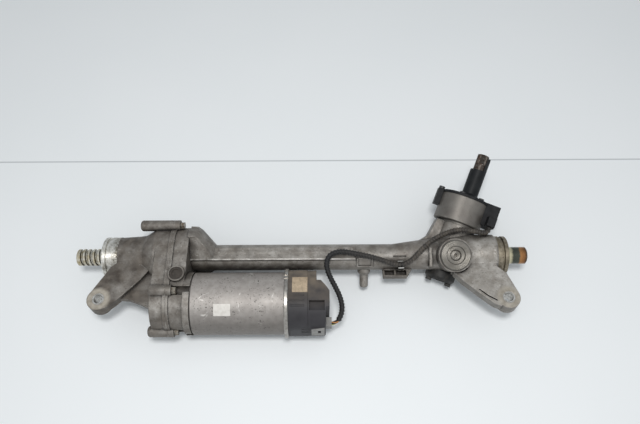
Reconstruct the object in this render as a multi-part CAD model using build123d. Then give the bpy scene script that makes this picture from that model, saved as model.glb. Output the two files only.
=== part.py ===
from build123d import *
import os
from math import asin, cos, degrees, pi, radians, sin, sqrt, tan

# Electric power-steering rack: the motor lies beside the rack and drives a ball nut through a
# toothed belt, and the driver's pinion meshes with the rack's teeth under a sprung yoke.
#
# Everything is drawn about the rack's own axis, in millimetres: X runs along the rack to the
# right with x = 0 at the left mounting bore, +Z is up, and y = z = 0 on the rack axis.
# The last lines then move it, so that the origin is the left mounting bore on its seating face.

# ---------------------------------------------------------------- driving dimensions

# mounting ears
MOUNT_SPACING = 574.0
RACK_BEHIND_MOUNTS = 75.0
SEAT_ABOVE_RACK = 2.0
EAR_THICKNESS = 20.0
EAR_RADIUS = 16.0
MOUNT_BORE_D = 12.5
MOUNT_SLEEVE_D = 17.0
EAR_WEB_THICKNESS = 8.0
ARM_ABOVE_SEAT = 6.0

# rack bar
RACK_D = 25.0
RACK_LEFT_END = -48.5
RACK_LENGTH = 664.0
RACK_END_CHAMFER = 1.5
TIE_ROD_THREAD_D = 14.0
TIE_ROD_THREAD_DEPTH = 22.0
STROKE_LEFT = 66.0
STROKE_RIGHT = 78.0

# ball screw
SCREW_LEAD = 7.0
GROOVE_START = 4.0
GROOVE_DEPTH = 1.5
GROOVE_FLOOR_HALF = 1.2
GROOVE_TOP_HALF = 2.7
NUT_LEFT = 52.0
NUT_D = 40.0
NUT_CLEARANCE = 0.3
RETURN_TUBE_D = 4.4
RETURN_TUBE_RISE = 5.0

# rack and pinion teeth
TOOTH_MODULE = 1.9
PINION_TEETH = 8
PRESSURE_ANGLE = 20.0
TOOTH_BACKLASH = 0.56
TOOTH_TIP_CLEARANCE = 0.5
PITCH_LINE_BELOW_RACK = 7.7
PINION_FACE = 28.0
TEETH_MARGIN = 14.0

# pinion tower, measured along the pinion's axis from the middle of its teeth
PINION_X = 503.0
PINION_LEAN = 21.4
YOKE_TILT = 25.0
PINION_SHANK_D = 15.0
LOWER_CAP_S = -25.0
LOWER_CAP_LENGTH = 14.0
LOWER_CAP_D = 45.0
CAP_GAP = 0.4
LOWER_BEARING_D = 22.0
LOWER_BEARING_LENGTH = 9.0
UPPER_BEARING_S = 20.0
UPPER_BEARING_D = 40.0
UPPER_BEARING_BORE_D = 20.0
UPPER_BEARING_LENGTH = 12.0
BEARING_RING_LENGTH = 4.0
PINION_CUP_D = 26.0
PINION_CUP_TOP = 56.0
TOWER_D = 54.0
TOWER_TOP = 47.0
TOWER_WEB_THICKNESS = 24.0

# torque sensor and input shaft
INPUT_SHAFT_D = 17.5
INPUT_SHAFT_LOW = 44.0
INPUT_SHAFT_TIP = 164.0
SPLINE_LENGTH = 15.0
SPLINE_TEETH = 24
SPLINE_DEPTH = 0.8
TORSION_BAR_D = 4.6
TORSION_BAR_LOW = 28.0
TORSION_BAR_TOP = 158.0
SENSOR_D = 64.0
SENSOR_LOBE = 8.0
SENSOR_NECK_D = 52.0
SENSOR_NECK = 3.0
SENSOR_TOP = 89.0
SENSOR_BORE_D = 42.0
SENSOR_RING_D = 37.0
PICKUP_S = 49.5
PICKUP_WIDTH = 5.0
BOARD_S = 56.5
MAGNET_S = 59.7
MAGNET_WIDTH = 8.5
INPUT_BEARING_S = 72.0
INPUT_BEARING_D = 28.0
INPUT_BEARING_LENGTH = 8.0
SEAL_LENGTH = 6.0
COVER_THICKNESS = 4.0
COVER_LIP = 1.0
CONNECTOR_DEPTH = 29.0
CONNECTOR_FRONT = -20.0
TOWER_PLUG_LENGTH = 14.0
SLEEVE_FOOT_D = 37.0
SLEEVE_FOOT = 5.0
SLEEVE_D = 24.4
SLEEVE_WALL = 2.6
SLEEVE_LENGTH = 45.5
TONGUE_LENGTH = 22.0
TONGUE_WIDTH = 15.0

# yoke, measured from the rack's axis
YOKE_D = 33.0
YOKE_FOOT = 4.0
YOKE_HEIGHT = 26.0
YOKE_GAP = 0.3
YOKE_LINER = 0.8
YOKE_GROOVE = 2.0
YOKE_GROOVE_DEPTH = 1.2
YOKE_SPRING_SEAT = 20.0
YOKE_SPRING_D = 22.0
YOKE_SPRING_WASHERS = 4
YOKE_THREAD_D = 38.0
YOKE_PLUG_D = 43.0
YOKE_PLUG_FLANGE = 4.0
YOKE_PLUG_RECESS = 2.5
YOKE_BOSS_TOP = 41.0
YOKE_BOSS_WALL = 2.5

# rack housing
TUBE_D = 38.0
TUBE_SHIFT = 1.0
LEDGE_FRONT = -13.6
LEDGE_TOP = 17.8
LEDGE_END = 362.0
PAD_LENGTH = 24.0
PAD_HEIGHT = 15.0
PAD_RIM = 2.5
RACK_BORE_D = 29.0
BOOT_SEAT_D = 59.0
BOOT_SEAT_LENGTH = 23.0
BOOT_GROOVE_DEPTH = 2.5
BOOT_GROOVE_WIDTH = 5.0
BALL_JOINT_BORE_D = 44.0
BALL_JOINT_DEPTH = 26.0
PINION_END_D = 56.0
RIGHT_FACE_X = 584.0
RIGHT_SEAT_D = 57.0
RIGHT_SEAT_LENGTH = 15.5
RIGHT_NECK_D = 62.0
BUSH_LENGTH = 20.0
BUSH_WALL = 3.4
BRACKET_LEFT = 403.0
BRACKET_LENGTH = 40.0
BRACKET_REACH = 32.0
BRACKET_TOP = -2.0
BRACKET_THICKNESS = 9.0
PEG_X = 375.5
PEG_D = 12.5
PEG_LENGTH = 27.0
PEG_BASE_D = 19.0
PEG_ANGLE = 40.0

# belt drive and its covers
LEFT_SEAT_X = -6.0
LEFT_NECK_D = 58.0
DRUM_LEFT = 50.0
PARTING_X = 98.0
DRUM_RADIUS = 43.0
MOTOR_FROM_RACK = 74.0
BELT_COVER_RADIUS = 39.5
BELT_COVER_LEFT = 76.0
CASTING_WALL = 6.0
BELT_COVER_WALL = 3.5
FLANGE_LIP = 1.5
FLANGE_THICKNESS = 8.0
BELT_LEFT = 81.5
BELT_WIDTH = 16.0
BELT_THICKNESS = 2.6
BELT_PITCH = 5.0
BIG_PULLEY_TEETH = 38
SMALL_PULLEY_TEETH = 16
PULLEY_LIP = 1.6
NUT_BEARING_D = 62.0
NUT_BEARING_WIDTH = 14.0
NUT_BEARING_X = 103.5
NUT_RING_WIDTH = 3.5
DRIVE_BACK = 122.0
INSPECTION_X = 110.0
INSPECTION_Y = -46.0
INSPECTION_D = 19.0
INSPECTION_WALL = 2.0

# motor
MOTOR_FACE_X = 131.0
MOTOR_D = 88.0
MOTOR_LENGTH = 129.5
MOTOR_WALL = 2.2
MOTOR_FRONT_WALL = 4.0
MOTOR_FLANGE_THICKNESS = 9.0
MOTOR_PILOT_D = 40.0
MOTOR_PILOT_LENGTH = 4.5
MOTOR_SHAFT_D = 12.0
MOTOR_BEARING_D = 24.0
MOTOR_BEARING_LENGTH = 7.0
MOTOR_RING_D = 98.0
MOTOR_RING_WIDTH = 5.5
ROTOR_LEFT = 150.0
ROTOR_D = 46.0
ROTOR_LENGTH = 85.0
MAGNET_THICKNESS = 3.0
MAGNETS = 8
AIR_GAP = 0.8
STATOR_SLOTS = 12
STATOR_SLOT_DEPTH = 12.0
WINDING_LENGTH = 9.0
MOTOR_SCREW_D = 6.0
MOTOR_SCREW_CIRCLE = 58.0
MOTOR_SCREW_ANGLES = [100, 180, 260]

# control unit
ECU_BODY_LENGTH = 27.0
ECU_NOSE_LENGTH = 30.0
ECU_WIDTH = 88.0
ECU_HEIGHT = 86.0
ECU_CORNER = 34.0
ECU_WALL = 3.0
ECU_RIBS = 3
ECU_RIB_HEIGHT = 1.2
ECU_NOSE_STEP = 0.5
SOCKET_Y = -9.5
SOCKET_WIDTH = 17.0
SOCKET_HEIGHT = 18.0
SOCKET_DEPTH = 15.0
PIN_LENGTH = 6.0

# sensor lead
CONDUIT_D = 8.4
CLIP_WALL = 0.9
CLIP_LENGTH = 8.0
CLIP_FIT = 0.6
CLIP_FROM_BRACKET = 24.0

# fasteners and fits
JOINT_SCREW_D = 6.0
JOINT_SCREW_LENGTH = 22.0
JOINT_SCREW_HEAD_D = 11.0
JOINT_SCREW_HEAD = 6.0
JOINT_BOSS_RADIUS = 8.0
HEAD_ROOM = 0.8
SCREW_CLEARANCE = 0.1
SLIP_FIT = 0.05
RUNNING_FIT = 0.05

# ---------------------------------------------------------------- derived values

RACK_RADIUS = RACK_D / 2
RACK_RIGHT_END = RACK_LEFT_END + RACK_LENGTH
MOTOR_Y = -MOTOR_FROM_RACK
EAR_Y = -RACK_BEHIND_MOUNTS
EAR_TOP = SEAT_ABOVE_RACK + EAR_THICKNESS
ARM_LOW = SEAT_ABOVE_RACK + ARM_ABOVE_SEAT
BUSH_RADIUS = RACK_RADIUS + BUSH_WALL
RIGHT_SEAT_X = RIGHT_FACE_X - RIGHT_SEAT_LENGTH
NUT_RIGHT = NUT_BEARING_X + NUT_BEARING_WIDTH
SCREW_END_X = NUT_RIGHT + STROKE_LEFT
BIG_PULLEY_RADIUS = BIG_PULLEY_TEETH * BELT_PITCH / 2 / pi
SMALL_PULLEY_RADIUS = SMALL_PULLEY_TEETH * BELT_PITCH / 2 / pi
MOTOR_BACK = MOTOR_FACE_X + MOTOR_LENGTH
MOTOR_SCREW_SEAT = NUT_BEARING_X - NUT_RING_WIDTH
ECU_X = MOTOR_BACK + MOTOR_RING_WIDTH
ECU_NOSE_X = ECU_X + ECU_BODY_LENGTH
ECU_END_X = ECU_NOSE_X + ECU_NOSE_LENGTH
TOOTH_PITCH = pi * TOOTH_MODULE
PINION_PITCH_RADIUS = TOOTH_MODULE * PINION_TEETH / 2 / cos(radians(PINION_LEAN))
PINION_TIP_RADIUS = PINION_PITCH_RADIUS + TOOTH_MODULE
LOWER_BEARING_S = LOWER_CAP_S + 1
PINION_BELOW_RACK = PITCH_LINE_BELOW_RACK + PINION_PITCH_RADIUS
YOKE_THREAD_LOW = YOKE_FOOT + YOKE_HEIGHT + YOKE_GAP
YOKE_PLUG_FACE = YOKE_BOSS_TOP + YOKE_PLUG_FLANGE
COVER_S = SENSOR_TOP
SLEEVE_S = COVER_S + COVER_THICKNESS

# Screws that join the two castings, as (y, z) about the rack axis, and each one's boss length.
JOINT_SCREWS = [
    (35, 33, 50),
    (38, -28, 30),
    (-70, 39.5, 24),
    (-113.5, -4, 29),
    (-60.5, -37.3, 20),
    (-18, -46, 30),
]

# The yoke pushes along YOKE_UP; the pinion's axis is square to it and leans to the right.
YOKE_UP = Vector(0, -sin(radians(YOKE_TILT)), cos(radians(YOKE_TILT)))
ACROSS = Vector(0, cos(radians(YOKE_TILT)), sin(radians(YOKE_TILT)))
PINION_UP = Vector(1, 0, 0) * sin(radians(PINION_LEAN)) + ACROSS * cos(radians(PINION_LEAN))
PINION_SIDE = Vector(1, 0, 0) * cos(radians(PINION_LEAN)) - ACROSS * sin(radians(PINION_LEAN))
YOKE_FRAME = Plane(origin=(PINION_X, 0, 0), x_dir=(1, 0, 0), z_dir=YOKE_UP).location
PINION_ORIGIN = Vector(PINION_X, 0, 0) - YOKE_UP * PINION_BELOW_RACK
# Here local x is PINION_SIDE and local -y points at the rack.
PINION_FRAME = Plane(origin=PINION_ORIGIN, x_dir=PINION_SIDE, z_dir=PINION_UP).location


# ---------------------------------------------------------------- drawing helpers


def x_rod(left, right, radius, y=0.0, z=0.0):
    """A round bar along X."""
    bar = Cylinder(radius, right - left, align=(Align.CENTER, Align.CENTER, Align.MIN))
    return Pos(left, y, z) * Rot(0, 90, 0) * bar


def x_ring(left, right, outer, inner, y=0.0, z=0.0):
    """A plain ring about a line along X."""
    return x_rod(left, right, outer, y, z) - x_rod(left - 1, right + 1, inner, y, z)


def x_prism(face, left, right):
    """A face drawn in y and z, drawn out between two planes across X."""
    plane = Plane(origin=(left, 0, 0), x_dir=(0, 1, 0), z_dir=(1, 0, 0))
    return extrude(plane * face, right - left, dir=(1, 0, 0))


def x_hexagon(left, right, radius, y=0.0, z=0.0):
    """A hexagonal bar along X."""
    return x_prism(Pos(y, z) * RegularPolygon(radius, 6), left, right)


def rod(low, high, radius):
    """A round bar along the local Z."""
    bar = Cylinder(radius, high - low, align=(Align.CENTER, Align.CENTER, Align.MIN))
    return Pos(0, 0, low) * bar


def ring(low, high, outer, inner):
    """A plain ring about the local Z."""
    return rod(low, high, outer) - rod(low - 1, high + 1, inner)


def turned(points, y=0.0, z=0.0):
    """A solid turned about a line along X, from (x, radius) points."""
    face = make_face(Polyline(*points, close=True))
    return Pos(0, y, z) * revolve(face, Axis.X)


def spun(points):
    """A solid turned about the local Z, from (radius, height) points."""
    face = make_face(Polyline(*[(r, 0, h) for r, h in points], close=True))
    return revolve(face, Axis.Z)


def block(low, high):
    """A box between two opposite corners."""
    size = [b - a for a, b in zip(low, high)]
    return Pos(*low) * Box(*size, align=(Align.MIN, Align.MIN, Align.MIN))


def slab(points, low, high):
    """A flat plate with an outline in X and Y, from one height to another."""
    return extrude(Pos(0, 0, low) * Polygon(*points, align=None), high - low, dir=(0, 0, 1))


def belt_outline(rack_radius, motor_radius):
    """The outline round the rack axis and the motor axis, drawn in y and z."""
    slope = asin((rack_radius - motor_radius) / MOTOR_FROM_RACK)
    corners = []
    for radius, centre, side in (
        (rack_radius, 0.0, 1),
        (motor_radius, MOTOR_Y, 1),
        (motor_radius, MOTOR_Y, -1),
        (rack_radius, 0.0, -1),
    ):
        corners.append((centre - radius * sin(slope), side * radius * cos(slope)))
    outline = Circle(rack_radius) + Pos(MOTOR_Y, 0) * Circle(motor_radius)
    return outline + Polygon(*corners, align=None)


def belt_prism(left, right, rack_radius, motor_radius):
    """A closed form between two planes across X, round both the rack and the motor axis."""
    return x_prism(belt_outline(rack_radius, motor_radius), left, right)


# ---------------------------------------------------------------- castings


def mounting_ear(x):
    """The round end of an ear, with its sleeve's bore left solid."""
    return Pos(x, EAR_Y, SEAT_ABOVE_RACK) * rod(0, EAR_THICKNESS, EAR_RADIUS)


def ear_bore(x):
    """The bore for an ear's steel sleeve."""
    return Pos(x, EAR_Y, SEAT_ABOVE_RACK) * rod(-1, EAR_THICKNESS + 1, MOUNT_SLEEVE_D / 2)


def boot_seat(outer_end, direction, radius, length):
    """Outline points of a bellows seat with its clamp groove, from the neck's end outwards."""
    groove = radius - BOOT_GROOVE_DEPTH
    steps = [(0, 0), (0, radius - 1), (1, radius), (5.5, radius), (6.3, groove)]
    steps += [(5.5 + BOOT_GROOVE_WIDTH - 0.8, groove), (5.5 + BOOT_GROOVE_WIDTH, radius)]
    steps += [(length, radius)]
    return [(outer_end + direction * along, r) for along, r in steps]


def joint_bosses():
    """Left-hand bosses for the screws that join the two castings."""
    bosses = []
    for y, z, length in JOINT_SCREWS:
        boss = x_rod(PARTING_X - length, PARTING_X, JOINT_BOSS_RADIUS, y, z)
        end = boss.edges().filter_by(GeomType.CIRCLE).sort_by(Axis.X)[0]
        bosses.append(fillet(end, JOINT_BOSS_RADIUS * 0.5))
    return bosses


def nut_chamber():
    """The space for the ball nut, opening out towards the belt."""
    wide = DRUM_RADIUS - CASTING_WALL
    narrow = LEFT_NECK_D / 2 - CASTING_WALL + 2
    left, right = DRUM_LEFT - 2, PARTING_X + 1
    return turned([(left, 0), (left, narrow), (DRUM_LEFT + 22, wide), (right, wide), (right, 0)])


def drive_housing():
    """Left casting: neck, ball-nut drum, half of the belt cover and the left ear."""
    neck = LEFT_NECK_D / 2
    seat_end = LEFT_SEAT_X + BOOT_SEAT_LENGTH
    outline = boot_seat(LEFT_SEAT_X, 1, BOOT_SEAT_D / 2, BOOT_SEAT_LENGTH)
    outline += [
        (seat_end + 0.5, neck),
        (DRUM_LEFT - 8, neck + 1.5),
        (DRUM_LEFT + 4, neck + 3),
        (DRUM_LEFT + 22, DRUM_RADIUS),
        (PARTING_X, DRUM_RADIUS),
        (PARTING_X, 0),
    ]
    form = turned(outline)
    form += belt_prism(BELT_COVER_LEFT, PARTING_X, DRUM_RADIUS, BELT_COVER_RADIUS)
    form += belt_prism(
        PARTING_X - FLANGE_THICKNESS / 2,
        PARTING_X,
        DRUM_RADIUS + FLANGE_LIP,
        BELT_COVER_RADIUS + FLANGE_LIP,
    )
    form += joint_bosses()
    arm = [
        (-15.2, EAR_Y + 5),
        (6, -33),
        (seat_end - 7, -26),
        (seat_end - 4, -12),
        (seat_end + 1, 0),
        (BELT_COVER_LEFT, 0),
        (BELT_COVER_LEFT - 5, -21.5),
        (BELT_COVER_LEFT - 12, -32.5),
        (54.5, -45.7),
        (42, -59.5),
        (30, EAR_Y + 3),
        (22, EAR_Y - 5.3),
        (14.5, EAR_Y - 11.5),
        (5, EAR_Y - 15.2),
        (0, EAR_Y),
    ]
    web = [
        (12, EAR_Y - 5),
        (22.5, EAR_Y - 0.5),
        (29, EAR_Y + 2.5),
        (42, EAR_Y + 1),
        (57, EAR_Y - 5),
        (BELT_COVER_LEFT + 2, EAR_Y - 15),
        (BELT_COVER_LEFT + 2, -10),
        (20, -30),
        (0, EAR_Y),
    ]
    form += slab(arm, ARM_LOW, EAR_TOP)
    form += slab(web, ARM_LOW, ARM_LOW + EAR_WEB_THICKNESS)
    form += mounting_ear(0)
    form -= x_rod(LEFT_SEAT_X - 1, LEFT_SEAT_X + BALL_JOINT_DEPTH, BALL_JOINT_BORE_D / 2)
    form -= x_rod(LEFT_SEAT_X, DRUM_LEFT, RACK_BORE_D / 2)
    form -= nut_chamber()
    form -= belt_prism(
        BELT_COVER_LEFT + BELT_COVER_WALL,
        PARTING_X + 1,
        DRUM_RADIUS - CASTING_WALL,
        BELT_COVER_RADIUS - CASTING_WALL,
    )
    form -= ear_bore(0)
    for y, z, _ in JOINT_SCREWS:
        depth = JOINT_SCREW_LENGTH - FLANGE_THICKNESS + 1
        form -= x_rod(PARTING_X - depth, PARTING_X + 1, JOINT_SCREW_D / 2, y, z)
    return form


def rack_tube():
    """The long tube with its cast ledge, the flare into the pinion end and the drive bell."""
    form = x_rod(DRIVE_BACK - 2, PINION_X, TUBE_D / 2, -TUBE_SHIFT, -TUBE_SHIFT)
    ledge = Polygon(
        (LEDGE_FRONT, LEDGE_TOP - 8),
        (LEDGE_FRONT, LEDGE_TOP - 1),
        (LEDGE_FRONT + 1, LEDGE_TOP),
        (6, LEDGE_TOP),
        (10, LEDGE_TOP - 3),
        (4, 0),
        (-6, 0),
        align=None,
    )
    form += x_prism(ledge, DRIVE_BACK - 2, LEDGE_END)
    bell = turned(
        [
            (DRIVE_BACK - 2, 0),
            (DRIVE_BACK - 2, DRUM_RADIUS + 2.5),
            (DRIVE_BACK + 7, DRUM_RADIUS + 2),
            (DRIVE_BACK + 13, DRUM_RADIUS - 2),
            (DRIVE_BACK + 34, TUBE_D / 2 - 1),
            (DRIVE_BACK + 34, 0),
        ]
    )
    behind = Polygon(
        (LEDGE_FRONT, -60),
        (LEDGE_FRONT, LEDGE_TOP),
        (10, 41),
        (20, 60),
        (60, 60),
        (60, -60),
        align=None,
    )
    form += bell & x_prism(behind, DRIVE_BACK - 3, DRIVE_BACK + 40)
    form += pinion_flare()
    form += tube_pad()
    slot_left = PINION_X - 86
    form -= block((slot_left, -10, RACK_BORE_D / 2 + 0.8), (slot_left + 19, -7.6, TUBE_D))
    return form


def pinion_flare():
    """The tube's swelling towards the pinion, mostly on its far side."""
    sections = []
    for x, radius, y in (
        (PINION_X - 90, TUBE_D / 2 - 1, -TUBE_SHIFT),
        (PINION_X - 48, TUBE_D / 2 + 1, 3.5),
        (PINION_X - 18, PINION_END_D / 2 - 4, 3),
        (PINION_X, PINION_END_D / 2 - 3, 2),
    ):
        plane = Plane(origin=(x, 0, 0), x_dir=(0, 1, 0), z_dir=(1, 0, 0))
        sections.append(plane * Pos(y, 0) * Circle(radius))
    return loft(sections, ruled=True)


def pad_frame():
    """The place of the cast pad on the tube's near side, at its top edge."""
    out = Vector(0, -cos(radians(30)), sin(radians(30)))
    return Plane(origin=(PEG_X, LEDGE_FRONT + 0.4, LEDGE_TOP), x_dir=(1, 0, 0), z_dir=out).location


def tube_pad():
    """Cast pad with a raised rim on three sides."""
    half = PAD_LENGTH / 2
    inside = half - PAD_RIM
    pad = block((-half, -PAD_HEIGHT, -8), (half, 0, 0))
    pad -= block((-inside, PAD_RIM - PAD_HEIGHT, -1.5), (inside, 1, 1))
    return pad_frame() * pad


def rack_drive_end():
    """The right casting's half of the belt cover, its bosses and the motor's flange."""
    form = belt_prism(PARTING_X, DRIVE_BACK, DRUM_RADIUS, BELT_COVER_RADIUS)
    form += belt_prism(
        PARTING_X,
        PARTING_X + FLANGE_THICKNESS / 2,
        DRUM_RADIUS + FLANGE_LIP,
        BELT_COVER_RADIUS + FLANGE_LIP,
    )
    for y, z, _ in JOINT_SCREWS:
        form += x_rod(PARTING_X, PARTING_X + FLANGE_THICKNESS, JOINT_BOSS_RADIUS, y, z)
    flange_left = MOTOR_FACE_X - MOTOR_FLANGE_THICKNESS
    form += x_rod(flange_left, MOTOR_FACE_X, MOTOR_D / 2 + 0.5, MOTOR_Y)
    form += inspection_frame() * rod(-6, 4, INSPECTION_D / 2 + INSPECTION_WALL)
    return form


def inspection_frame():
    """The place of the round inspection port on the belt cover's upper side."""
    slope = (DRUM_RADIUS - BELT_COVER_RADIUS) / MOTOR_FROM_RACK
    up = Vector(0, -slope, sqrt(1 - slope**2))
    height = (DRUM_RADIUS + slope * INSPECTION_Y) / up.Z
    origin = (INSPECTION_X, INSPECTION_Y, height)
    return Plane(origin=origin, x_dir=(1, 0, 0), z_dir=up).location


def rack_pinion_end():
    """The yoke boss, the pinion tower with its web, the right neck and the right ear."""
    neck = RIGHT_NECK_D / 2
    outline = boot_seat(RIGHT_FACE_X, -1, RIGHT_SEAT_D / 2, RIGHT_SEAT_LENGTH)
    outline += [
        (RIGHT_SEAT_X - 3, neck),
        (PINION_X + 20, neck),
        (PINION_X - 1, PINION_END_D / 2),
        (PINION_X - 1, 0),
    ]
    form = turned(outline)
    form += YOKE_FRAME * rod(0, YOKE_BOSS_TOP, YOKE_PLUG_D / 2 + YOKE_BOSS_WALL)
    form += PINION_FRAME * rod(LOWER_CAP_S, 0, LOWER_CAP_D / 2 - 1)
    form += PINION_FRAME * rod(-1, TOWER_TOP, TOWER_D / 2)
    web = Polygon(
        (-35, TOWER_TOP),
        (-37, TOWER_TOP - 13),
        (-39, TOWER_TOP - 29),
        (-47, 8),
        (-58, -8),
        (0, -8),
        (0, TOWER_TOP),
        align=None,
    )
    form += PINION_FRAME * extrude(Plane.XZ * web, TOWER_WEB_THICKNESS / 2, both=True)
    arm = [
        (MOUNT_SPACING + 15.2, EAR_Y + 5),
        (MOUNT_SPACING + 2, -38),
        (RIGHT_SEAT_X - 4, -28),
        (RIGHT_SEAT_X - 4, 0),
        (PINION_X, 0),
        (PINION_X - 1, -37),
        (PINION_X + 12, -51.5),
        (PINION_X + 31, EAR_Y + 6.5),
        (PINION_X + 50, EAR_Y - 9.5),
        (MOUNT_SPACING - 12, EAR_Y - 13.2),
        (MOUNT_SPACING, EAR_Y),
    ]
    form += slab(arm, ARM_LOW, EAR_TOP)
    form += mounting_ear(MOUNT_SPACING)
    form += YOKE_FRAME * block((-34, -16, 0), (-30, 12, YOKE_BOSS_TOP - 17))
    return form


def right_arm_cuts():
    """The groove along the right arm's edge and the notch beside the yoke boss."""
    groove = [
        (PINION_X + 31.5, -62.2),
        (PINION_X + 43, -72),
        (PINION_X + 54.5, -78.7),
        (PINION_X + 53.9, -80.2),
        (PINION_X + 42, -73.3),
        (PINION_X + 30.4, -63.4),
    ]
    notch = [
        (PINION_X + 6, -35.5),
        (PINION_X + 9, -38),
        (PINION_X + 19, -31.5),
        (PINION_X + 17, -28.5),
    ]
    return slab(groove, EAR_TOP - 6, EAR_TOP + 1) + slab(notch, EAR_TOP - 9, EAR_TOP + 1)


def peg_frame():
    """The place of the locating peg, pointing down and away from the tube."""
    slope = radians(PEG_ANGLE)
    out = Vector(0, -cos(slope), -sin(slope))
    return Plane(origin=(PEG_X, -TUBE_SHIFT, -TUBE_SHIFT), x_dir=(1, 0, 0), z_dir=out).location


def rack_bracket():
    """The ledge with two pockets beside the tube, the peg's boss and the pad above it."""
    low = BRACKET_TOP - BRACKET_THICKNESS
    right = BRACKET_LEFT + BRACKET_LENGTH
    outline = [
        (BRACKET_LEFT, -BRACKET_REACH),
        (right - 5, -BRACKET_REACH),
        (right + 5, -16),
        (right + 5, -8),
        (BRACKET_LEFT - 1, -8),
    ]
    form = slab(outline, low, BRACKET_TOP)
    for left, width in ((BRACKET_LEFT + 2, 14), (BRACKET_LEFT + 19, 15)):
        near = -BRACKET_REACH + 2
        form -= block((left, near, low + 1), (left + width, near + 8, BRACKET_TOP + 1))
    form += peg_frame() * spun(
        [
            (0, 0),
            (PEG_BASE_D / 2, 0),
            (PEG_BASE_D / 2, TUBE_D / 2 + 3),
            (PEG_D / 2, TUBE_D / 2 + 8),
            (PEG_D / 2, TUBE_D / 2 + PEG_LENGTH - 2),
            (PEG_D / 2 - 2, TUBE_D / 2 + PEG_LENGTH),
            (0, TUBE_D / 2 + PEG_LENGTH),
        ]
    )
    return form


def rack_housing_bores():
    """Every bore and chamber of the right casting."""
    bush_left = RIGHT_FACE_X - BALL_JOINT_DEPTH - BUSH_LENGTH
    bores = [
        x_rod(PARTING_X - 1, RIGHT_FACE_X, RACK_BORE_D / 2),
        x_rod(RIGHT_FACE_X - BALL_JOINT_DEPTH, RIGHT_FACE_X + 1, BALL_JOINT_BORE_D / 2),
        x_rod(bush_left, RIGHT_FACE_X - BALL_JOINT_DEPTH + 1, BUSH_RADIUS),
        x_rod(PARTING_X - 1, NUT_RIGHT, NUT_BEARING_D / 2),
        x_rod(NUT_RIGHT - 1, NUT_RIGHT + 1.5, NUT_D / 2 + 5),
        belt_prism(
            PARTING_X - 1,
            NUT_BEARING_X - NUT_RING_WIDTH,
            DRUM_RADIUS - CASTING_WALL,
            BELT_COVER_RADIUS - CASTING_WALL,
        ),
        x_rod(PARTING_X, MOTOR_FACE_X, MOTOR_SHAFT_D / 2 + 3, MOTOR_Y),
        x_rod(MOTOR_FACE_X - MOTOR_PILOT_LENGTH - 0.5, MOTOR_FACE_X + 1, MOTOR_PILOT_D / 2, MOTOR_Y),
        inspection_frame() * rod(-2, 5, INSPECTION_D / 2),
        YOKE_FRAME * rod(0, YOKE_BOSS_TOP + 1, YOKE_D / 2),
        YOKE_FRAME * rod(YOKE_THREAD_LOW, YOKE_BOSS_TOP + 1, YOKE_THREAD_D / 2),
        PINION_FRAME * rod(LOWER_BEARING_S, UPPER_BEARING_S + 1, PINION_TIP_RADIUS + 2),
        PINION_FRAME * rod(LOWER_CAP_S - 1, LOWER_BEARING_S + LOWER_BEARING_LENGTH, LOWER_BEARING_D / 2),
        PINION_FRAME * rod(UPPER_BEARING_S, TOWER_TOP + 1, UPPER_BEARING_D / 2),
        PINION_FRAME * rod(LOWER_CAP_S - 30, LOWER_CAP_S, LOWER_CAP_D / 2 + CAP_GAP),
        ear_bore(MOUNT_SPACING),
        right_arm_cuts(),
    ]
    seat = PARTING_X + FLANGE_THICKNESS
    for y, z, _ in JOINT_SCREWS:
        bores.append(x_rod(PARTING_X - 1, seat + 1, JOINT_SCREW_D / 2, y, z))
        bores.append(x_rod(seat, MOTOR_FACE_X + 15, JOINT_SCREW_HEAD_D / 2 + HEAD_ROOM, y, z))
    for y, z in motor_screw_spots():
        bores.append(x_rod(MOTOR_SCREW_SEAT - 1, MOTOR_FACE_X + 1, MOTOR_SCREW_D / 2, y, z))
    return bores


def rack_housing():
    """Right casting: belt flange, tube, pinion tower, yoke boss, right neck and ear."""
    form = rack_drive_end() + rack_tube() + rack_pinion_end() + rack_bracket()
    for bore in rack_housing_bores():
        form -= bore
    return form


def mount_sleeve(x):
    """Steel sleeve pressed into an ear."""
    sleeve = ring(0, EAR_THICKNESS, MOUNT_SLEEVE_D / 2 - SLIP_FIT, MOUNT_BORE_D / 2)
    return Pos(x, EAR_Y, SEAT_ABOVE_RACK) * sleeve


def joint_screws():
    """Hexagon-headed screws, from the right, that hold the two castings together."""
    seat = PARTING_X + FLANGE_THICKNESS
    screws = []
    for y, z, _ in JOINT_SCREWS:
        shank = x_rod(seat - JOINT_SCREW_LENGTH, seat, JOINT_SCREW_D / 2 - SCREW_CLEARANCE, y, z)
        screws.append(shank + x_hexagon(seat, seat + JOINT_SCREW_HEAD, JOINT_SCREW_HEAD_D / 2, y, z))
    return Compound(children=screws)


def inspection_plug():
    """Round plug over the belt's inspection port."""
    plug = rod(-2, 3, INSPECTION_D / 2 - SLIP_FIT) - rod(1.5, 4, INSPECTION_D / 2 - 3)
    return inspection_frame() * plug


# ---------------------------------------------------------------- rack bar


def ball_groove():
    """The helical track that the balls run in."""
    start = RACK_LEFT_END + GROOVE_START
    turns = round((SCREW_END_X - start) / SCREW_LEAD)
    helix = Helix(SCREW_LEAD, turns * SCREW_LEAD, RACK_RADIUS)
    section = Polygon(
        (-GROOVE_DEPTH, -GROOVE_FLOOR_HALF),
        (0.8, -GROOVE_TOP_HALF),
        (0.8, GROOVE_TOP_HALF),
        (-GROOVE_DEPTH, GROOVE_FLOOR_HALF),
        align=None,
    )
    across = Plane(origin=helix @ 0, x_dir=(1, 0, 0), z_dir=helix % 0)
    groove = sweep(across * section, path=helix, is_frenet=True)
    return Pos(start, 0, 0) * Rot(0, 90, 0) * groove


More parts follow.
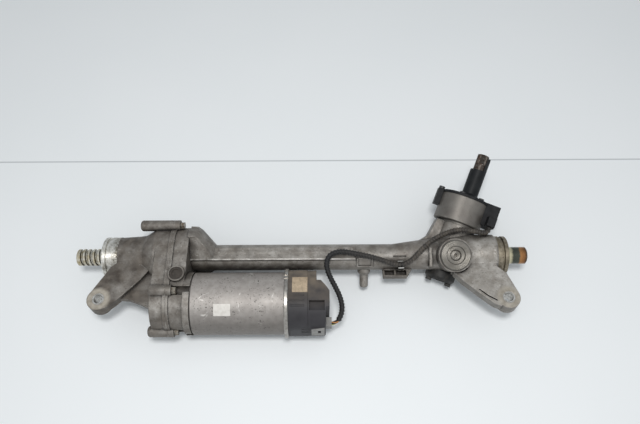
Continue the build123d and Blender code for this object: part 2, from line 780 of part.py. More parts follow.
def rack_teeth_gaps():
    """The gaps between the rack's teeth, square to the rack and facing the pinion."""
    root = PITCH_LINE_BELOW_RACK - TOOTH_MODULE - TOOTH_TIP_CLEARANCE
    tips = PITCH_LINE_BELOW_RACK + TOOTH_MODULE
    outside = RACK_RADIUS + 1
    slope = tan(radians(PRESSURE_ANGLE))
    half_gap = TOOTH_PITCH / 4 + TOOTH_BACKLASH / 2
    narrow = half_gap - (PITCH_LINE_BELOW_RACK - root) * slope
    wide = half_gap + (outside - PITCH_LINE_BELOW_RACK) * slope
    first = -int((STROKE_RIGHT + TEETH_MARGIN) / TOOTH_PITCH)
    last = int((STROKE_LEFT + TEETH_MARGIN) / TOOTH_PITCH)
    low, high = (first - 1) * TOOTH_PITCH, (last + 1) * TOOTH_PITCH
    outline = [(low - 3, -outside), (low, -tips)]
    for step in range(first, last + 1):
        middle = step * TOOTH_PITCH
        flank = half_gap + (tips - PITCH_LINE_BELOW_RACK) * slope
        outline += [(middle - flank, -tips), (middle - narrow, -root)]
        outline += [(middle + narrow, -root), (middle + flank, -tips)]
    outline += [(high, -tips), (high + 3, -outside)]
    comb = Plane.XZ * Polygon(*outline, align=None)
    return YOKE_FRAME * extrude(comb, outside, both=True)


def rack_bar():
    """Hardened steel rack: ball-screw track on the left, teeth on the right, threaded ends."""
    bar = turned(
        [
            (RACK_LEFT_END, 0),
            (RACK_LEFT_END, RACK_RADIUS - RACK_END_CHAMFER),
            (RACK_LEFT_END + RACK_END_CHAMFER, RACK_RADIUS),
            (RACK_RIGHT_END - RACK_END_CHAMFER, RACK_RADIUS),
            (RACK_RIGHT_END, RACK_RADIUS - RACK_END_CHAMFER),
            (RACK_RIGHT_END, 0),
        ]
    )
    thread = TIE_ROD_THREAD_D / 2
    bar -= x_rod(RACK_LEFT_END - 1, RACK_LEFT_END + TIE_ROD_THREAD_DEPTH, thread)
    bar -= x_rod(RACK_RIGHT_END - TIE_ROD_THREAD_DEPTH, RACK_RIGHT_END + 1, thread)
    return bar - ball_groove() - rack_teeth_gaps()


def rack_bush():
    """Plastic bush that carries the rack's right end."""
    right = RIGHT_FACE_X - BALL_JOINT_DEPTH
    return x_ring(right - BUSH_LENGTH, right, BUSH_RADIUS - SLIP_FIT, RACK_RADIUS + RUNNING_FIT)


# ---------------------------------------------------------------- yoke


def yoke_grooves():
    """The two grooves round the yoke, each as a ring from its floor outwards."""
    outer = YOKE_D / 2 - RUNNING_FIT
    heights = (YOKE_FOOT + YOKE_HEIGHT - 14, YOKE_FOOT + YOKE_HEIGHT - 6)
    return [ring(h, h + YOKE_GROOVE, outer, outer - YOKE_GROOVE_DEPTH) for h in heights]


def yoke():
    """Yoke that presses the rack into the pinion, hollow for its spring."""
    top = YOKE_FOOT + YOKE_HEIGHT
    body = rod(YOKE_FOOT, top, YOKE_D / 2 - RUNNING_FIT)
    body -= rod(YOKE_SPRING_SEAT, top + 1, YOKE_SPRING_D / 2 + 0.5)
    for groove in yoke_grooves():
        body -= groove
    return YOKE_FRAME * body - x_rod(PINION_X - 30, PINION_X + 30, RACK_RADIUS + YOKE_LINER)


def yoke_liner():
    """Low-friction liner between the yoke and the rack."""
    liner = x_ring(PINION_X - 12, PINION_X + 12, RACK_RADIUS + YOKE_LINER, RACK_RADIUS + RUNNING_FIT)
    return liner & (YOKE_FRAME * block((-14, -10, 0), (14, 10, RACK_RADIUS + 2)))


def yoke_o_rings():
    """Two rubber rings that keep the yoke from rattling in its bore."""
    return Compound(children=[YOKE_FRAME * groove for groove in yoke_grooves()])


def yoke_spring():
    """Dished spring washers stacked between the yoke and its plug, drawn at rest."""
    low = YOKE_SPRING_SEAT
    high = YOKE_THREAD_LOW + YOKE_PLUG_RECESS
    step = (high - low) / YOKE_SPRING_WASHERS
    thick = 1.2
    washers = []
    for index in range(YOKE_SPRING_WASHERS):
        base = low + index * step
        near, far = (base, base + step - thick) if index % 2 else (base + step - thick, base)
        outer = YOKE_SPRING_D / 2
        washers.append(YOKE_FRAME * spun([(4.5, near), (outer, far), (outer, far + thick), (4.5, near + thick)]))
    return Compound(children=washers)


def yoke_plug():
    """Threaded plug that sets the yoke's play; its round face shows on the housing."""
    thread = YOKE_THREAD_D / 2 - SCREW_CLEARANCE
    plug = spun(
        [
            (0, YOKE_THREAD_LOW),
            (thread, YOKE_THREAD_LOW),
            (thread, YOKE_BOSS_TOP),
            (YOKE_PLUG_D / 2, YOKE_BOSS_TOP),
            (YOKE_PLUG_D / 2, YOKE_PLUG_FACE - 1),
            (YOKE_PLUG_D / 2 - 1, YOKE_PLUG_FACE),
            (13.5, YOKE_PLUG_FACE),
            (12.5, YOKE_PLUG_FACE - 1.5),
            (8, YOKE_PLUG_FACE - 1.5),
            (6.5, YOKE_PLUG_FACE - 4),
            (0, YOKE_PLUG_FACE - 4),
        ]
    )
    plug -= rod(YOKE_THREAD_LOW - 1, YOKE_THREAD_LOW + YOKE_PLUG_RECESS, YOKE_SPRING_D / 2 + 0.5)
    plug -= rod(YOKE_PLUG_FACE - 8, YOKE_PLUG_FACE, 2.5)
    return YOKE_FRAME * plug


# ---------------------------------------------------------------- pinion


def pinion_section():
    """The pinion's outline square to its axis: straight-flanked teeth with backlash."""
    root = PINION_PITCH_RADIUS - TOOTH_MODULE - TOOTH_TIP_CLEARANCE
    step = 2 * pi / PINION_TEETH
    flank = tan(radians(PRESSURE_ANGLE)) / cos(radians(PINION_LEAN)) * 1.3
    thickness = TOOTH_PITCH / cos(radians(PINION_LEAN)) / 2 - TOOTH_BACKLASH
    corners = []
    for index in range(PINION_TEETH):
        middle = index * step - pi / 2
        sides = []
        for radius in (root, PINION_PITCH_RADIUS, PINION_TIP_RADIUS):
            half = (thickness / 2 - (radius - PINION_PITCH_RADIUS) * flank) / radius
            sides.append((radius, min(half, step / 2 - 0.06)))
        for radius, half in sides:
            corners.append((radius * cos(middle - half), radius * sin(middle - half)))
        for radius, half in reversed(sides):
            corners.append((radius * cos(middle + half), radius * sin(middle + half)))
    return make_face(Polyline(*corners, close=True))


def pinion_teeth():
    """The toothed length, twisted so that its teeth lie along the rack's."""
    twist = degrees(-PINION_FACE * tan(radians(PINION_LEAN)) / PINION_PITCH_RADIUS)
    face = Pos(0, 0, -PINION_FACE / 2) * Rot(0, 0, -twist / 2) * pinion_section()
    low, up = (0, 0, -PINION_FACE / 2), (0, 0, PINION_FACE)
    return Solid.extrude_linear_with_rotation(face.face(), low, up, twist)


def pinion():
    """Helical pinion with its two journals and the cup that takes the input shaft."""
    shoulder = UPPER_BEARING_S + UPPER_BEARING_LENGTH + BEARING_RING_LENGTH
    shank = spun(
        [
            (0, LOWER_BEARING_S),
            (PINION_SHANK_D / 2, LOWER_BEARING_S),
            (PINION_SHANK_D / 2, -PINION_FACE / 2),
            (PINION_SHANK_D / 2 - 2, -PINION_FACE / 2),
            (PINION_SHANK_D / 2 - 2, PINION_FACE / 2),
            (PINION_TIP_RADIUS, PINION_FACE / 2),
            (PINION_TIP_RADIUS + 1, UPPER_BEARING_S),
            (UPPER_BEARING_BORE_D / 2, UPPER_BEARING_S),
            (UPPER_BEARING_BORE_D / 2, shoulder),
            (PINION_CUP_D / 2, shoulder),
            (PINION_CUP_D / 2, PINION_CUP_TOP),
            (0, PINION_CUP_TOP),
        ]
    )
    shank += pinion_teeth()
    shank -= rod(INPUT_SHAFT_LOW - 0.5, PINION_CUP_TOP + 1, INPUT_SHAFT_D / 2 + RUNNING_FIT)
    shank -= rod(TORSION_BAR_LOW, INPUT_SHAFT_LOW, TORSION_BAR_D / 2 + RUNNING_FIT)
    return PINION_FRAME * shank


def pinion_lower_bearing():
    """Drawn-cup needle bearing, its needles drawn as one sleeve."""
    high = LOWER_BEARING_S + LOWER_BEARING_LENGTH
    outer = LOWER_BEARING_D / 2 - SLIP_FIT
    return PINION_FRAME * ring(LOWER_BEARING_S, high, outer, PINION_SHANK_D / 2 + RUNNING_FIT)


def pinion_upper_races():
    """The outer and the inner race of the pinion's ball bearing."""
    low, high = UPPER_BEARING_S, UPPER_BEARING_S + UPPER_BEARING_LENGTH
    outside, bore = UPPER_BEARING_D / 2, UPPER_BEARING_BORE_D / 2
    middle = (outside + bore) / 2
    outer = ring(low, high, outside - SLIP_FIT, middle + RUNNING_FIT)
    inner = ring(low, high, middle, bore + SLIP_FIT)
    return PINION_FRAME * outer, PINION_FRAME * inner


def pinion_bearing_ring():
    """Threaded ring that holds the pinion's ball bearing down."""
    low = UPPER_BEARING_S + UPPER_BEARING_LENGTH
    outer = UPPER_BEARING_D / 2 - SLIP_FIT
    return PINION_FRAME * ring(low, low + BEARING_RING_LENGTH, outer, PINION_CUP_D / 2 + 2)


def pinion_cap():
    """Black cap that closes the housing under the pinion, with its two pry lugs."""
    low = LOWER_CAP_S - LOWER_CAP_LENGTH
    cap = spun(
        [
            (0, low + 3),
            (LOWER_CAP_D / 2 - 9, low + 3),
            (LOWER_CAP_D / 2 - 8, low),
            (LOWER_CAP_D / 2 - 3, low),
            (LOWER_CAP_D / 2, low + 4),
            (LOWER_CAP_D / 2, LOWER_CAP_S),
            (0, LOWER_CAP_S),
        ]
    )
    for side in (-1, 1):
        cap += Pos(side * LOWER_CAP_D / 3, 0, low - 2) * Box(7, 12, 5)
    return PINION_FRAME * cap


# ---------------------------------------------------------------- torque sensor and input shaft


def torsion_bar():
    """Thin bar that joins the pinion to the input shaft and twists under the driver's effort."""
    return PINION_FRAME * rod(TORSION_BAR_LOW, TORSION_BAR_TOP, TORSION_BAR_D / 2)


def input_shaft():
    """Hollow input shaft with its splined tip."""
    step = pi / SPLINE_TEETH
    radii = (INPUT_SHAFT_D / 2, INPUT_SHAFT_D / 2 - SPLINE_DEPTH)
    corners = []
    for index in range(2 * SPLINE_TEETH):
        radius = radii[index % 2]
        corners.append((radius * cos(index * step), radius * sin(index * step)))
    spline = make_face(Polyline(*corners, close=True))
    start = INPUT_SHAFT_TIP - SPLINE_LENGTH
    shaft = rod(INPUT_SHAFT_LOW, start, INPUT_SHAFT_D / 2)
    shaft += extrude(Pos(0, 0, start) * spline, SPLINE_LENGTH)
    shaft -= rod(INPUT_SHAFT_LOW - 1, TORSION_BAR_TOP, TORSION_BAR_D / 2 + RUNNING_FIT)
    return PINION_FRAME * shaft


def pickup_ring():
    """Toothed pick-up ring on the pinion's cup."""
    pickup = ring(PICKUP_S, PICKUP_S + PICKUP_WIDTH, SENSOR_RING_D / 2, PINION_CUP_D / 2 + SLIP_FIT)
    for index in range(12):
        pickup -= Rot(0, 0, index * 30) * Pos(SENSOR_RING_D / 2, 0, PICKUP_S) * Box(5, 3, 20)
    return PINION_FRAME * pickup


def magnet_ring():
    """Ring magnet on the input shaft."""
    high = MAGNET_S + MAGNET_WIDTH
    return PINION_FRAME * ring(MAGNET_S, high, SENSOR_RING_D / 2, INPUT_SHAFT_D / 2 + SLIP_FIT)


def sensor_board():
    """Circuit board of the torque sensor, fixed in its housing between the two rings."""
    board = ring(BOARD_S, BOARD_S + 2, SENSOR_BORE_D / 2 - SLIP_FIT, PINION_CUP_D / 2 + 1.5)
    return PINION_FRAME * board


def lobed(low, high, radius):
    """A form round both the pinion's axis and the middle of the sensor's lobe."""
    form = rod(low, high, radius) + Pos(-SENSOR_LOBE, 0, 0) * rod(low, high, radius)
    return form + block((-SENSOR_LOBE, -radius, low), (0, radius, high))


def sensor_housing():
    """Aluminium housing of the torque sensor on top of the pinion tower."""
    base = TOWER_TOP + SENSOR_NECK
    housing = lobed(base, SENSOR_TOP, SENSOR_D / 2)
    housing = chamfer(housing.edges().group_by(Axis.Z)[0], 1)
    housing += rod(TOWER_TOP, base, SENSOR_NECK_D / 2)
    housing += rod(TOWER_TOP - 3, TOWER_TOP, UPPER_BEARING_D / 2 - SLIP_FIT)
    housing -= rod(TOWER_TOP - 4, base, SENSOR_RING_D / 2 + 0.5)
    housing -= rod(TOWER_TOP + 1.5, INPUT_BEARING_S - 3, SENSOR_BORE_D / 2)
    housing -= rod(TOWER_TOP, INPUT_BEARING_S, INPUT_BEARING_D / 2 - 2)
    housing -= rod(INPUT_BEARING_S, SENSOR_TOP + 1, INPUT_BEARING_D / 2)
    return PINION_FRAME * housing


def input_bearing():
    """Needle bearing of the input shaft."""
    high = INPUT_BEARING_S + INPUT_BEARING_LENGTH
    outer = INPUT_BEARING_D / 2 - SLIP_FIT
    return PINION_FRAME * ring(INPUT_BEARING_S, high, outer, INPUT_SHAFT_D / 2 + RUNNING_FIT)


def shaft_seal():
    """Rubber lip seal above the input bearing."""
    low = INPUT_BEARING_S + INPUT_BEARING_LENGTH
    outer = INPUT_BEARING_D / 2 - SLIP_FIT
    return PINION_FRAME * ring(low, low + SEAL_LENGTH, outer, INPUT_SHAFT_D / 2 + RUNNING_FIT)


def sensor_cover():
    """Black plastic cover of the sensor, with its connector block and its clip lug."""
    radius = SENSOR_D / 2
    top = COVER_S + COVER_THICKNESS
    cover = lobed(COVER_S, top, radius + COVER_LIP)
    cover += block((radius - 10, CONNECTOR_FRONT, COVER_S - CONNECTOR_DEPTH), (radius + 15, 14, top + 1))
    lug_tip = -radius - SENSOR_LOBE - 8
    cover += block((lug_tip, -7, COVER_S - 21), (lug_tip + 12, 7, top))
    cover -= lobed(TOWER_TOP, COVER_S, radius + 0.3)
    cover -= rod(COVER_S - 1, COVER_S + COVER_THICKNESS + 2, INPUT_SHAFT_D / 2 + 1)
    return PINION_FRAME * cover


def sensor_cover_screws():
    """Round-headed screws that hold the sensor cover."""
    seat = COVER_S + COVER_THICKNESS
    screws = []
    for angle in (125, 235, 305):
        spot = Rot(0, 0, angle) * Pos(SENSOR_D / 2 - 6, 0, 0)
        screws.append(PINION_FRAME * spot * rod(seat, seat + 3, 4))
    lug = SENSOR_D / 2 + SENSOR_LOBE + 3
    screws.append(PINION_FRAME * Pos(-lug, 0, 0) * rod(seat, seat + 4, 4.5))
    return Compound(children=screws)


def dust_sleeve():
    """Black plastic sleeve over the input shaft, with a long tongue on its right side."""
    outer = SLEEVE_D / 2
    foot_top = SLEEVE_S + SLEEVE_FOOT
    top = SLEEVE_S + SLEEVE_LENGTH
    sleeve = spun(
        [
            (outer - SLEEVE_WALL, SLEEVE_S),
            (SLEEVE_FOOT_D / 2, SLEEVE_S),
            (SLEEVE_FOOT_D / 2, foot_top - 2),
            (outer + 2, foot_top),
            (outer, foot_top + 2),
            (outer, top),
            (outer - SLEEVE_WALL, top),
        ]
    )
    tongue = ring(top - 1, top + TONGUE_LENGTH, outer, outer - SLEEVE_WALL)
    half = TONGUE_WIDTH / 2
    tongue &= block((0, -half, top - 1), (outer + 1, half, top + TONGUE_LENGTH))
    return PINION_FRAME * (sleeve + tongue)


# ---------------------------------------------------------------- ball nut and belt


def ball_nut():
    """Ball nut, with the holes that its return tube stands in."""
    nut = x_rod(NUT_LEFT, NUT_RIGHT, NUT_D / 2) - x_rod(NUT_LEFT - 1, NUT_RIGHT + 1, RACK_RADIUS + NUT_CLEARANCE)
    for x in return_tube_feet():
        nut -= Pos(x, 0, RACK_RADIUS + 2) * rod(0, NUT_D, RETURN_TUBE_D / 2)
    return nut


def return_tube_feet():
    """Where the return tube's two legs stand, two leads apart."""
    first = NUT_LEFT + 8
    return first, first + 2 * SCREW_LEAD


def ball_return_tube():
    """Bent tube that leads the balls back along the nut."""
    left, right = return_tube_feet()
    low, high = RACK_RADIUS + 2, NUT_D / 2 + RETURN_TUBE_RISE
    path = FilletPolyline((left, 0, low), (left, 0, high), (right, 0, high), (right, 0, low), radius=4)
    face = Plane(origin=(left, 0, low), z_dir=(0, 0, 1)) * Circle(RETURN_TUBE_D / 2 - SLIP_FIT)
    return sweep(face, path=path)


def nut_races():
    """The outer and the inner race of the ball nut's bearing."""
    left, right = NUT_BEARING_X, NUT_RIGHT
    outside, bore = NUT_BEARING_D / 2, NUT_D / 2
    middle = (outside + bore) / 2
    outer = x_ring(left, right, outside - SLIP_FIT, middle + RUNNING_FIT)
    inner = x_ring(left, right, middle, bore + SLIP_FIT)
    return outer, inner


def nut_bearing_ring():
    """Threaded ring that holds the ball nut's bearing in the right casting."""
    outside = NUT_BEARING_D / 2
    return x_ring(NUT_BEARING_X - NUT_RING_WIDTH, NUT_BEARING_X, outside - SLIP_FIT, outside - 5)


def pulley(teeth, radius, bore, y):
    """A flanged toothed pulley, its teeth drawn as a coarse saw round its rim."""
    left, right = BELT_LEFT, BELT_LEFT + BELT_WIDTH
    corners = []
    for index in range(teeth):
        for part, r in ((-0.25, radius - 1.2), (-0.15, radius), (0.15, radius), (0.25, radius - 1.2)):
            angle = (index + part) * 2 * pi / teeth
            corners.append((y + r * cos(angle), r * sin(angle)))
    rim = x_prism(make_face(Polyline(*corners, close=True)), left, right)
    for start in (left - PULLEY_LIP, right):
        rim += x_rod(start, start + PULLEY_LIP, radius + BELT_THICKNESS, y)
    return rim - x_rod(left - 5, right + 5, bore + SLIP_FIT, y)


def belt():
    """Toothed belt, drawn smooth inside at its running radius."""
    gap = 0.1
    inside = belt_prism(BELT_LEFT, BELT_LEFT + BELT_WIDTH, BIG_PULLEY_RADIUS + gap, SMALL_PULLEY_RADIUS + gap)
    thick = BELT_THICKNESS - gap
    outer = belt_prism(
        BELT_LEFT + 0.2,
        BELT_LEFT + BELT_WIDTH - 0.2,
        BIG_PULLEY_RADIUS + thick,
        SMALL_PULLEY_RADIUS + thick,
    )
    return outer - inside


# ---------------------------------------------------------------- motor


def motor_screw_spots():
    """The (y, z) places of the motor's screws."""
    radius = MOTOR_SCREW_CIRCLE / 2
    return [(MOTOR_Y + radius * cos(radians(a)), radius * sin(radians(a))) for a in MOTOR_SCREW_ANGLES]


def motor_can():
    """Motor case: pilot, front wall with the front bearing's seat, and the drawn can."""
    face, back = MOTOR_FACE_X, MOTOR_BACK
    seat = MOTOR_BEARING_D / 2
    can = turned(
        [
            (face - MOTOR_PILOT_LENGTH, MOTOR_SHAFT_D / 2 + 2),
            (face - MOTOR_PILOT_LENGTH, MOTOR_PILOT_D / 2 - SLIP_FIT),
            (face, MOTOR_PILOT_D / 2 - SLIP_FIT),
            (face, MOTOR_D / 2 - 2),
            (face + 2, MOTOR_D / 2),
            (back, MOTOR_D / 2),
            (back, MOTOR_D / 2 - MOTOR_WALL),
            (face + MOTOR_FRONT_WALL, MOTOR_D / 2 - MOTOR_WALL),
            (face + MOTOR_FRONT_WALL, seat + 3),
            (face + MOTOR_BEARING_LENGTH - 1, seat + 3),
            (face + MOTOR_BEARING_LENGTH - 1, seat),
            (face - 1, seat),
            (face - 1, MOTOR_SHAFT_D / 2 + 2),
        ],
        MOTOR_Y,
    )
    for y, z in motor_screw_spots():
        can -= x_rod(face - 1, face + MOTOR_FRONT_WALL + 1, MOTOR_SCREW_D / 2, y, z)
    return can


def motor_end_ring():
    """End plate between the can and the control unit; its bright rim shows all round."""
    seat = MOTOR_BEARING_D / 2
    back = MOTOR_BACK + MOTOR_RING_WIDTH
    plate = turned(
        [
            (MOTOR_BACK - 7, seat),
            (MOTOR_BACK - 7, seat + 3),
            (MOTOR_BACK, seat + 3),
            (MOTOR_BACK, MOTOR_RING_D / 2 - 1),
            (MOTOR_BACK + 1, MOTOR_RING_D / 2),
            (back - 1, MOTOR_RING_D / 2),
            (back, MOTOR_RING_D / 2 - 1),
            (back, MOTOR_SHAFT_D / 2 + 3),
            (MOTOR_BACK, MOTOR_SHAFT_D / 2 + 3),
            (MOTOR_BACK, seat),
        ],
        MOTOR_Y,
    )
    for angle in (60, 68, 200, 300):
        spot = Pos(0, MOTOR_Y, 0) * Rot(angle, 0, 0) * Pos(MOTOR_BACK, MOTOR_RING_D / 2, 0)
        plate -= spot * Box(3 * MOTOR_RING_WIDTH, 2.4, 3.5)
    return plate


def motor_races(left):
    """The outer and the inner race of one motor bearing."""
    outside, bore = MOTOR_BEARING_D / 2, MOTOR_SHAFT_D / 2
    middle = (outside + bore) / 2
    right = left + MOTOR_BEARING_LENGTH
    outer = x_ring(left, right, outside - SLIP_FIT, middle + RUNNING_FIT, MOTOR_Y)
    inner = x_ring(left, right, middle, bore + SLIP_FIT, MOTOR_Y)
    return outer, inner


def motor_shaft():
    """Motor shaft, from the small pulley to the position magnet."""
    return x_rod(BELT_LEFT - PULLEY_LIP, MOTOR_BACK + 3, MOTOR_SHAFT_D / 2, MOTOR_Y)


def rotor_core():
    """Laminated core on the motor shaft."""
    outer = ROTOR_D / 2 - MAGNET_THICKNESS
    right = ROTOR_LEFT + ROTOR_LENGTH
    return x_ring(ROTOR_LEFT, right, outer, MOTOR_SHAFT_D / 2 + SLIP_FIT, MOTOR_Y)


def rotor_magnets():
    """Magnet tiles round the rotor's core."""
    right = ROTOR_LEFT + ROTOR_LENGTH
    outer = ROTOR_D / 2
    tile = x_ring(ROTOR_LEFT, right, outer, outer - MAGNET_THICKNESS)
    half = outer * sin(pi / MAGNETS) * 0.85
    tile &= block((ROTOR_LEFT, 0, -half), (right, outer + 1, half))
    tiles = []
    for index in range(MAGNETS):
        tiles.append(Pos(0, MOTOR_Y, 0) * Rot(index * 360 / MAGNETS, 0, 0) * tile)
    return Compound(children=tiles)


def stator():
    """Laminated stator pressed into the can, with its slots."""
    right = ROTOR_LEFT + ROTOR_LENGTH
    inner = ROTOR_D / 2 + AIR_GAP
    core = x_ring(ROTOR_LEFT, right, MOTOR_D / 2 - MOTOR_WALL - SLIP_FIT, inner, MOTOR_Y)
    for index in range(STATOR_SLOTS):
        slot = block((ROTOR_LEFT - 1, inner - 2, -2.5), (right + 1, inner + STATOR_SLOT_DEPTH, 2.5))
        core -= Pos(0, MOTOR_Y, 0) * Rot(index * 360 / STATOR_SLOTS, 0, 0) * slot
    return core


def windings():
    """Copper end turns at both ends of the stator."""
    inner = ROTOR_D / 2 + AIR_GAP + 2
    outer = inner + STATOR_SLOT_DEPTH
    right = ROTOR_LEFT + ROTOR_LENGTH
    left_turns = x_ring(ROTOR_LEFT - WINDING_LENGTH, ROTOR_LEFT, outer, inner, MOTOR_Y)
    right_turns = x_ring(right, right + WINDING_LENGTH, outer, inner, MOTOR_Y)
    return Compound(children=[left_turns, right_turns])


def motor_screws():
    """Screws that hold the motor to the right casting, heads inside the belt cover."""
    seat = MOTOR_SCREW_SEAT
    screws = []
    for y, z in motor_screw_spots():
        shank = x_rod(seat, MOTOR_FACE_X + 3, MOTOR_SCREW_D / 2 - SCREW_CLEARANCE, y, z)
        screws.append(shank + x_hexagon(seat - 5, seat, MOTOR_SCREW_D * 0.75, y, z))
    return Compound(children=screws)


# ---------------------------------------------------------------- control unit


def ecu_face(shrink):
    """The control unit's rounded outline, drawn in y and z about the motor axis."""
    size = (ECU_WIDTH - 2 * shrink, ECU_HEIGHT - 2 * shrink)
    return Pos(MOTOR_Y, 0) * RectangleRounded(*size, ECU_CORNER - shrink)


def ecu_sector(angle, left, right, half_width):
    """A thin radial slab of the control unit, at an angle about the motor axis."""
    reach = max(ECU_WIDTH, ECU_HEIGHT)
    return Pos(0, MOTOR_Y, 0) * Rot(angle, 0, 0) * block((left, 0, -half_width), (right, reach, half_width))


def ecu_grooves(left, right):
    """Four grooves along the control unit's near side."""
    near = MOTOR_Y - ECU_WIDTH / 2
    cuts = [block((left, near - 2, z), (right, near + 1.5, z + 2.5)) for z in (0, 6, 12, 18)]
    return Compound(children=cuts)


def ecu_housing():
    """Black plastic case of the control unit, with its ribs and grooves."""
    case = x_prism(ecu_face(0), ECU_X, ECU_NOSE_X)
    left, right = ECU_X + 3, ECU_NOSE_X - 5
    for index in range(ECU_RIBS):
        grown = x_prism(ecu_face(-ECU_RIB_HEIGHT), left, right)
        case += grown & ecu_sector(97 + index * 9, left, right, 0.9)
    case -= ecu_grooves(ECU_NOSE_X - 9, ECU_NOSE_X + 1)
    return case - x_prism(ecu_face(ECU_WALL), ECU_X - 1, ECU_NOSE_X - ECU_WALL)


def control_board():
    """Circuit board of the control unit, on its pillars."""
    board = x_prism(ecu_face(ECU_WALL + 0.3), ECU_X + 14, ECU_X + 16)
    across, up = ECU_WIDTH / 2 - 17, ECU_HEIGHT / 2 - 19
    for y, z in ((across, up), (-across, up), (across, -up), (-across, -up)):
        board += x_rod(ECU_X, ECU_X + 14, 3, MOTOR_Y + y, z)
    return board


def ecu_cover():
    """Nose of the control unit: stepped plan, recess, side connector and both sockets."""
    face, end, half = ECU_NOSE_X, ECU_END_X, ECU_WIDTH / 2
    plan = [
        (face, half),
        (face + 12, half),
        (face + 12, 18),
        (end - 12, 18),
        (end - 4, 8),
        (end, 2),
        (end, -20),
        (end - 5, -21.5),
        (end - 5, 7 - half),
        (end - 6, 6 - half),
        (end - 6, -half),
        (face, -half),
    ]
    top = ECU_HEIGHT / 2
    nose = slab([(x, MOTOR_Y + y) for x, y in plan], -top, top)
    nose &= x_prism(ecu_face(ECU_NOSE_STEP), face, end)
    nose -= block((face + 2, MOTOR_Y - 25, top - 9), (end - 7, MOTOR_Y - 12, top + 1))
    near = MOTOR_Y - half
    nose += block((face + 5, near - 1, -8), (end - 7, near + 6, 17))
    nose -= block((face + 14, near - 2, 2), (face + 18, near + 4, 11))
    nose -= ecu_grooves(face - 1, face + 4)
    for z in (10, -14):
        nose -= socket_space(end, MOTOR_Y + SOCKET_Y, z, SOCKET_WIDTH, SOCKET_HEIGHT)
    return nose


def socket_space(face, y, z, width, height):
    """The clear space of a socket that opens to the right."""
    low = (face - SOCKET_DEPTH, y - width / 2, z - height / 2)
    return block(low, (face + 1, y + width / 2, z + height / 2))


def socket_pins():
    """Contact pins of both sockets."""
    base = ECU_END_X - SOCKET_DEPTH
    pins = []
    for index in range(5):
        for row in (6, 13):
            low = (base, MOTOR_Y + SOCKET_Y - 7.7 + index * 3.6, row)
            pins.append(block(low, (base + PIN_LENGTH, low[1] + 1, row + 1)))
    for y in (-6, 4):
        low = (base, MOTOR_Y + SOCKET_Y + y - 1, -18)
        pins.append(block(low, (base + PIN_LENGTH + 1, low[1] + 2, -10)))
    return Compound(children=pins)


def sensor_plug():
    """Small plug of the sensor lead in the control unit's nose."""
    left = ECU_END_X - 5
    x, y, z = CONDUIT_ROUTE[0]
    return block((left, y - 6.5, z - 6), (x, y + 6.5, z + 6))


# ---------------------------------------------------------------- sensor lead


CONDUIT_ROUTE = [
    (ECU_END_X + 3, -103, -2),
    (ECU_END_X + 8, -103, -2),
    (ECU_END_X + 13, -99, -0.5),
    (ECU_END_X + 17, -91.5, 1.5),
    (ECU_END_X + 18.5, -81, 5),
    (ECU_END_X + 15.5, -68, 9),
    (332, -55, 13.5),
    (325, -43, 18),
    (320, -31, 22),
    (319.5, -20, 25.5),
    (324, -11.5, 27.5),
    (332.5, -7, 28),
    (344, -5.5, 27.5),
    (359, -8, 26.5),
    (375, -11, 25.5),
    (391, -15, 24),
    (406, -19, 21),
    (419, -22.5, 17.5),
    (431, -22.5, 17),
    (442, -18, 22),
    (453, -8.5, 29),
    (465, 3, 33),
    (480, 13, 35),
    (496, 20, 36),
    (512, 24, 37),
    (526.42, 23.57, 35.75),
    (539.62, 22.77, 32.84),
    (549.66, 22.63, 28.91),
    (555.76, 25.29, 26.95),
    (558.38, 28.59, 26.61),
    (560.27, 32.98, 28.66),
]


def turn_between(before, corner, after):
    """The angle, in degrees, that a route turns through at a corner."""
    return (Vector(corner) - Vector(before)).get_angle(Vector(after) - Vector(corner))


def conduit_radii():
    """The largest tangent arc that each corner's two runs leave room for."""
    radii = []
    for before, corner, after in zip(CONDUIT_ROUTE, CONDUIT_ROUTE[1:], CONDUIT_ROUTE[2:]):
        shorter = min((Vector(corner) - Vector(before)).length, (Vector(after) - Vector(corner)).length)
        half_turn = radians(turn_between(before, corner, after) / 2)
        radii.append(0.45 * shorter / tan(half_turn))
    return radii


def conduit_path():
    """The conduit's centre line: straight runs joined by tangent arcs."""
    radii = conduit_radii()
    print("conduit arc radii:", [round(radius) for radius in radii])
    return FilletPolyline(*CONDUIT_ROUTE, radius=radii)


def conduit(path):
    """Corrugated conduit of the sensor lead, drawn plain, clipped beside the tube."""
    start = Plane(origin=path @ 0, z_dir=path % 0)
    tube = sweep(start * Circle(CONDUIT_D / 2), path=path)
    expected = pi * (CONDUIT_D / 2) ** 2 * path.length
    print("conduit length", round(path.length, 1), "volume ratio", round(tube.volume / expected, 4))
    return tube


def conduit_clip(path):
    """Spring-steel clip that holds the conduit over the bracket."""
    middle = BRACKET_LEFT + CLIP_FROM_BRACKET
    steps = [index / 500 for index in range(501)]
    place = min(steps, key=lambda step: abs((path @ step).X - middle))
    centre = path @ place
    inner = CONDUIT_D / 2 + CLIP_FIT
    half = CLIP_LENGTH / 2
    clip = Plane(origin=centre, z_dir=path % place).location * ring(-half, half, inner + CLIP_WALL, inner)
    reach = 3 * inner
    mouth = block((-reach, -reach, 1.5), (reach, reach, reach))
    clip -= Pos(*centre) * mouth
    low = centre.Z - inner - CLIP_WALL / 2
    stem = block((middle - 3, centre.Y - 1, BRACKET_TOP), (middle + 3, centre.Y + 1.5, low + 0.5))
    return clip + stem


def tower_plug():
    """Plug of the sensor lead on the sensor's connector block."""
    low = COVER_S - CONNECTOR_DEPTH
    left = SENSOR_D / 2
    plug = block((left, CONNECTOR_FRONT - 14, low), (left + 12, CONNECTOR_FRONT, low + TOWER_PLUG_LENGTH))
    return PINION_FRAME * plug


# ---------------------------------------------------------------- nodes

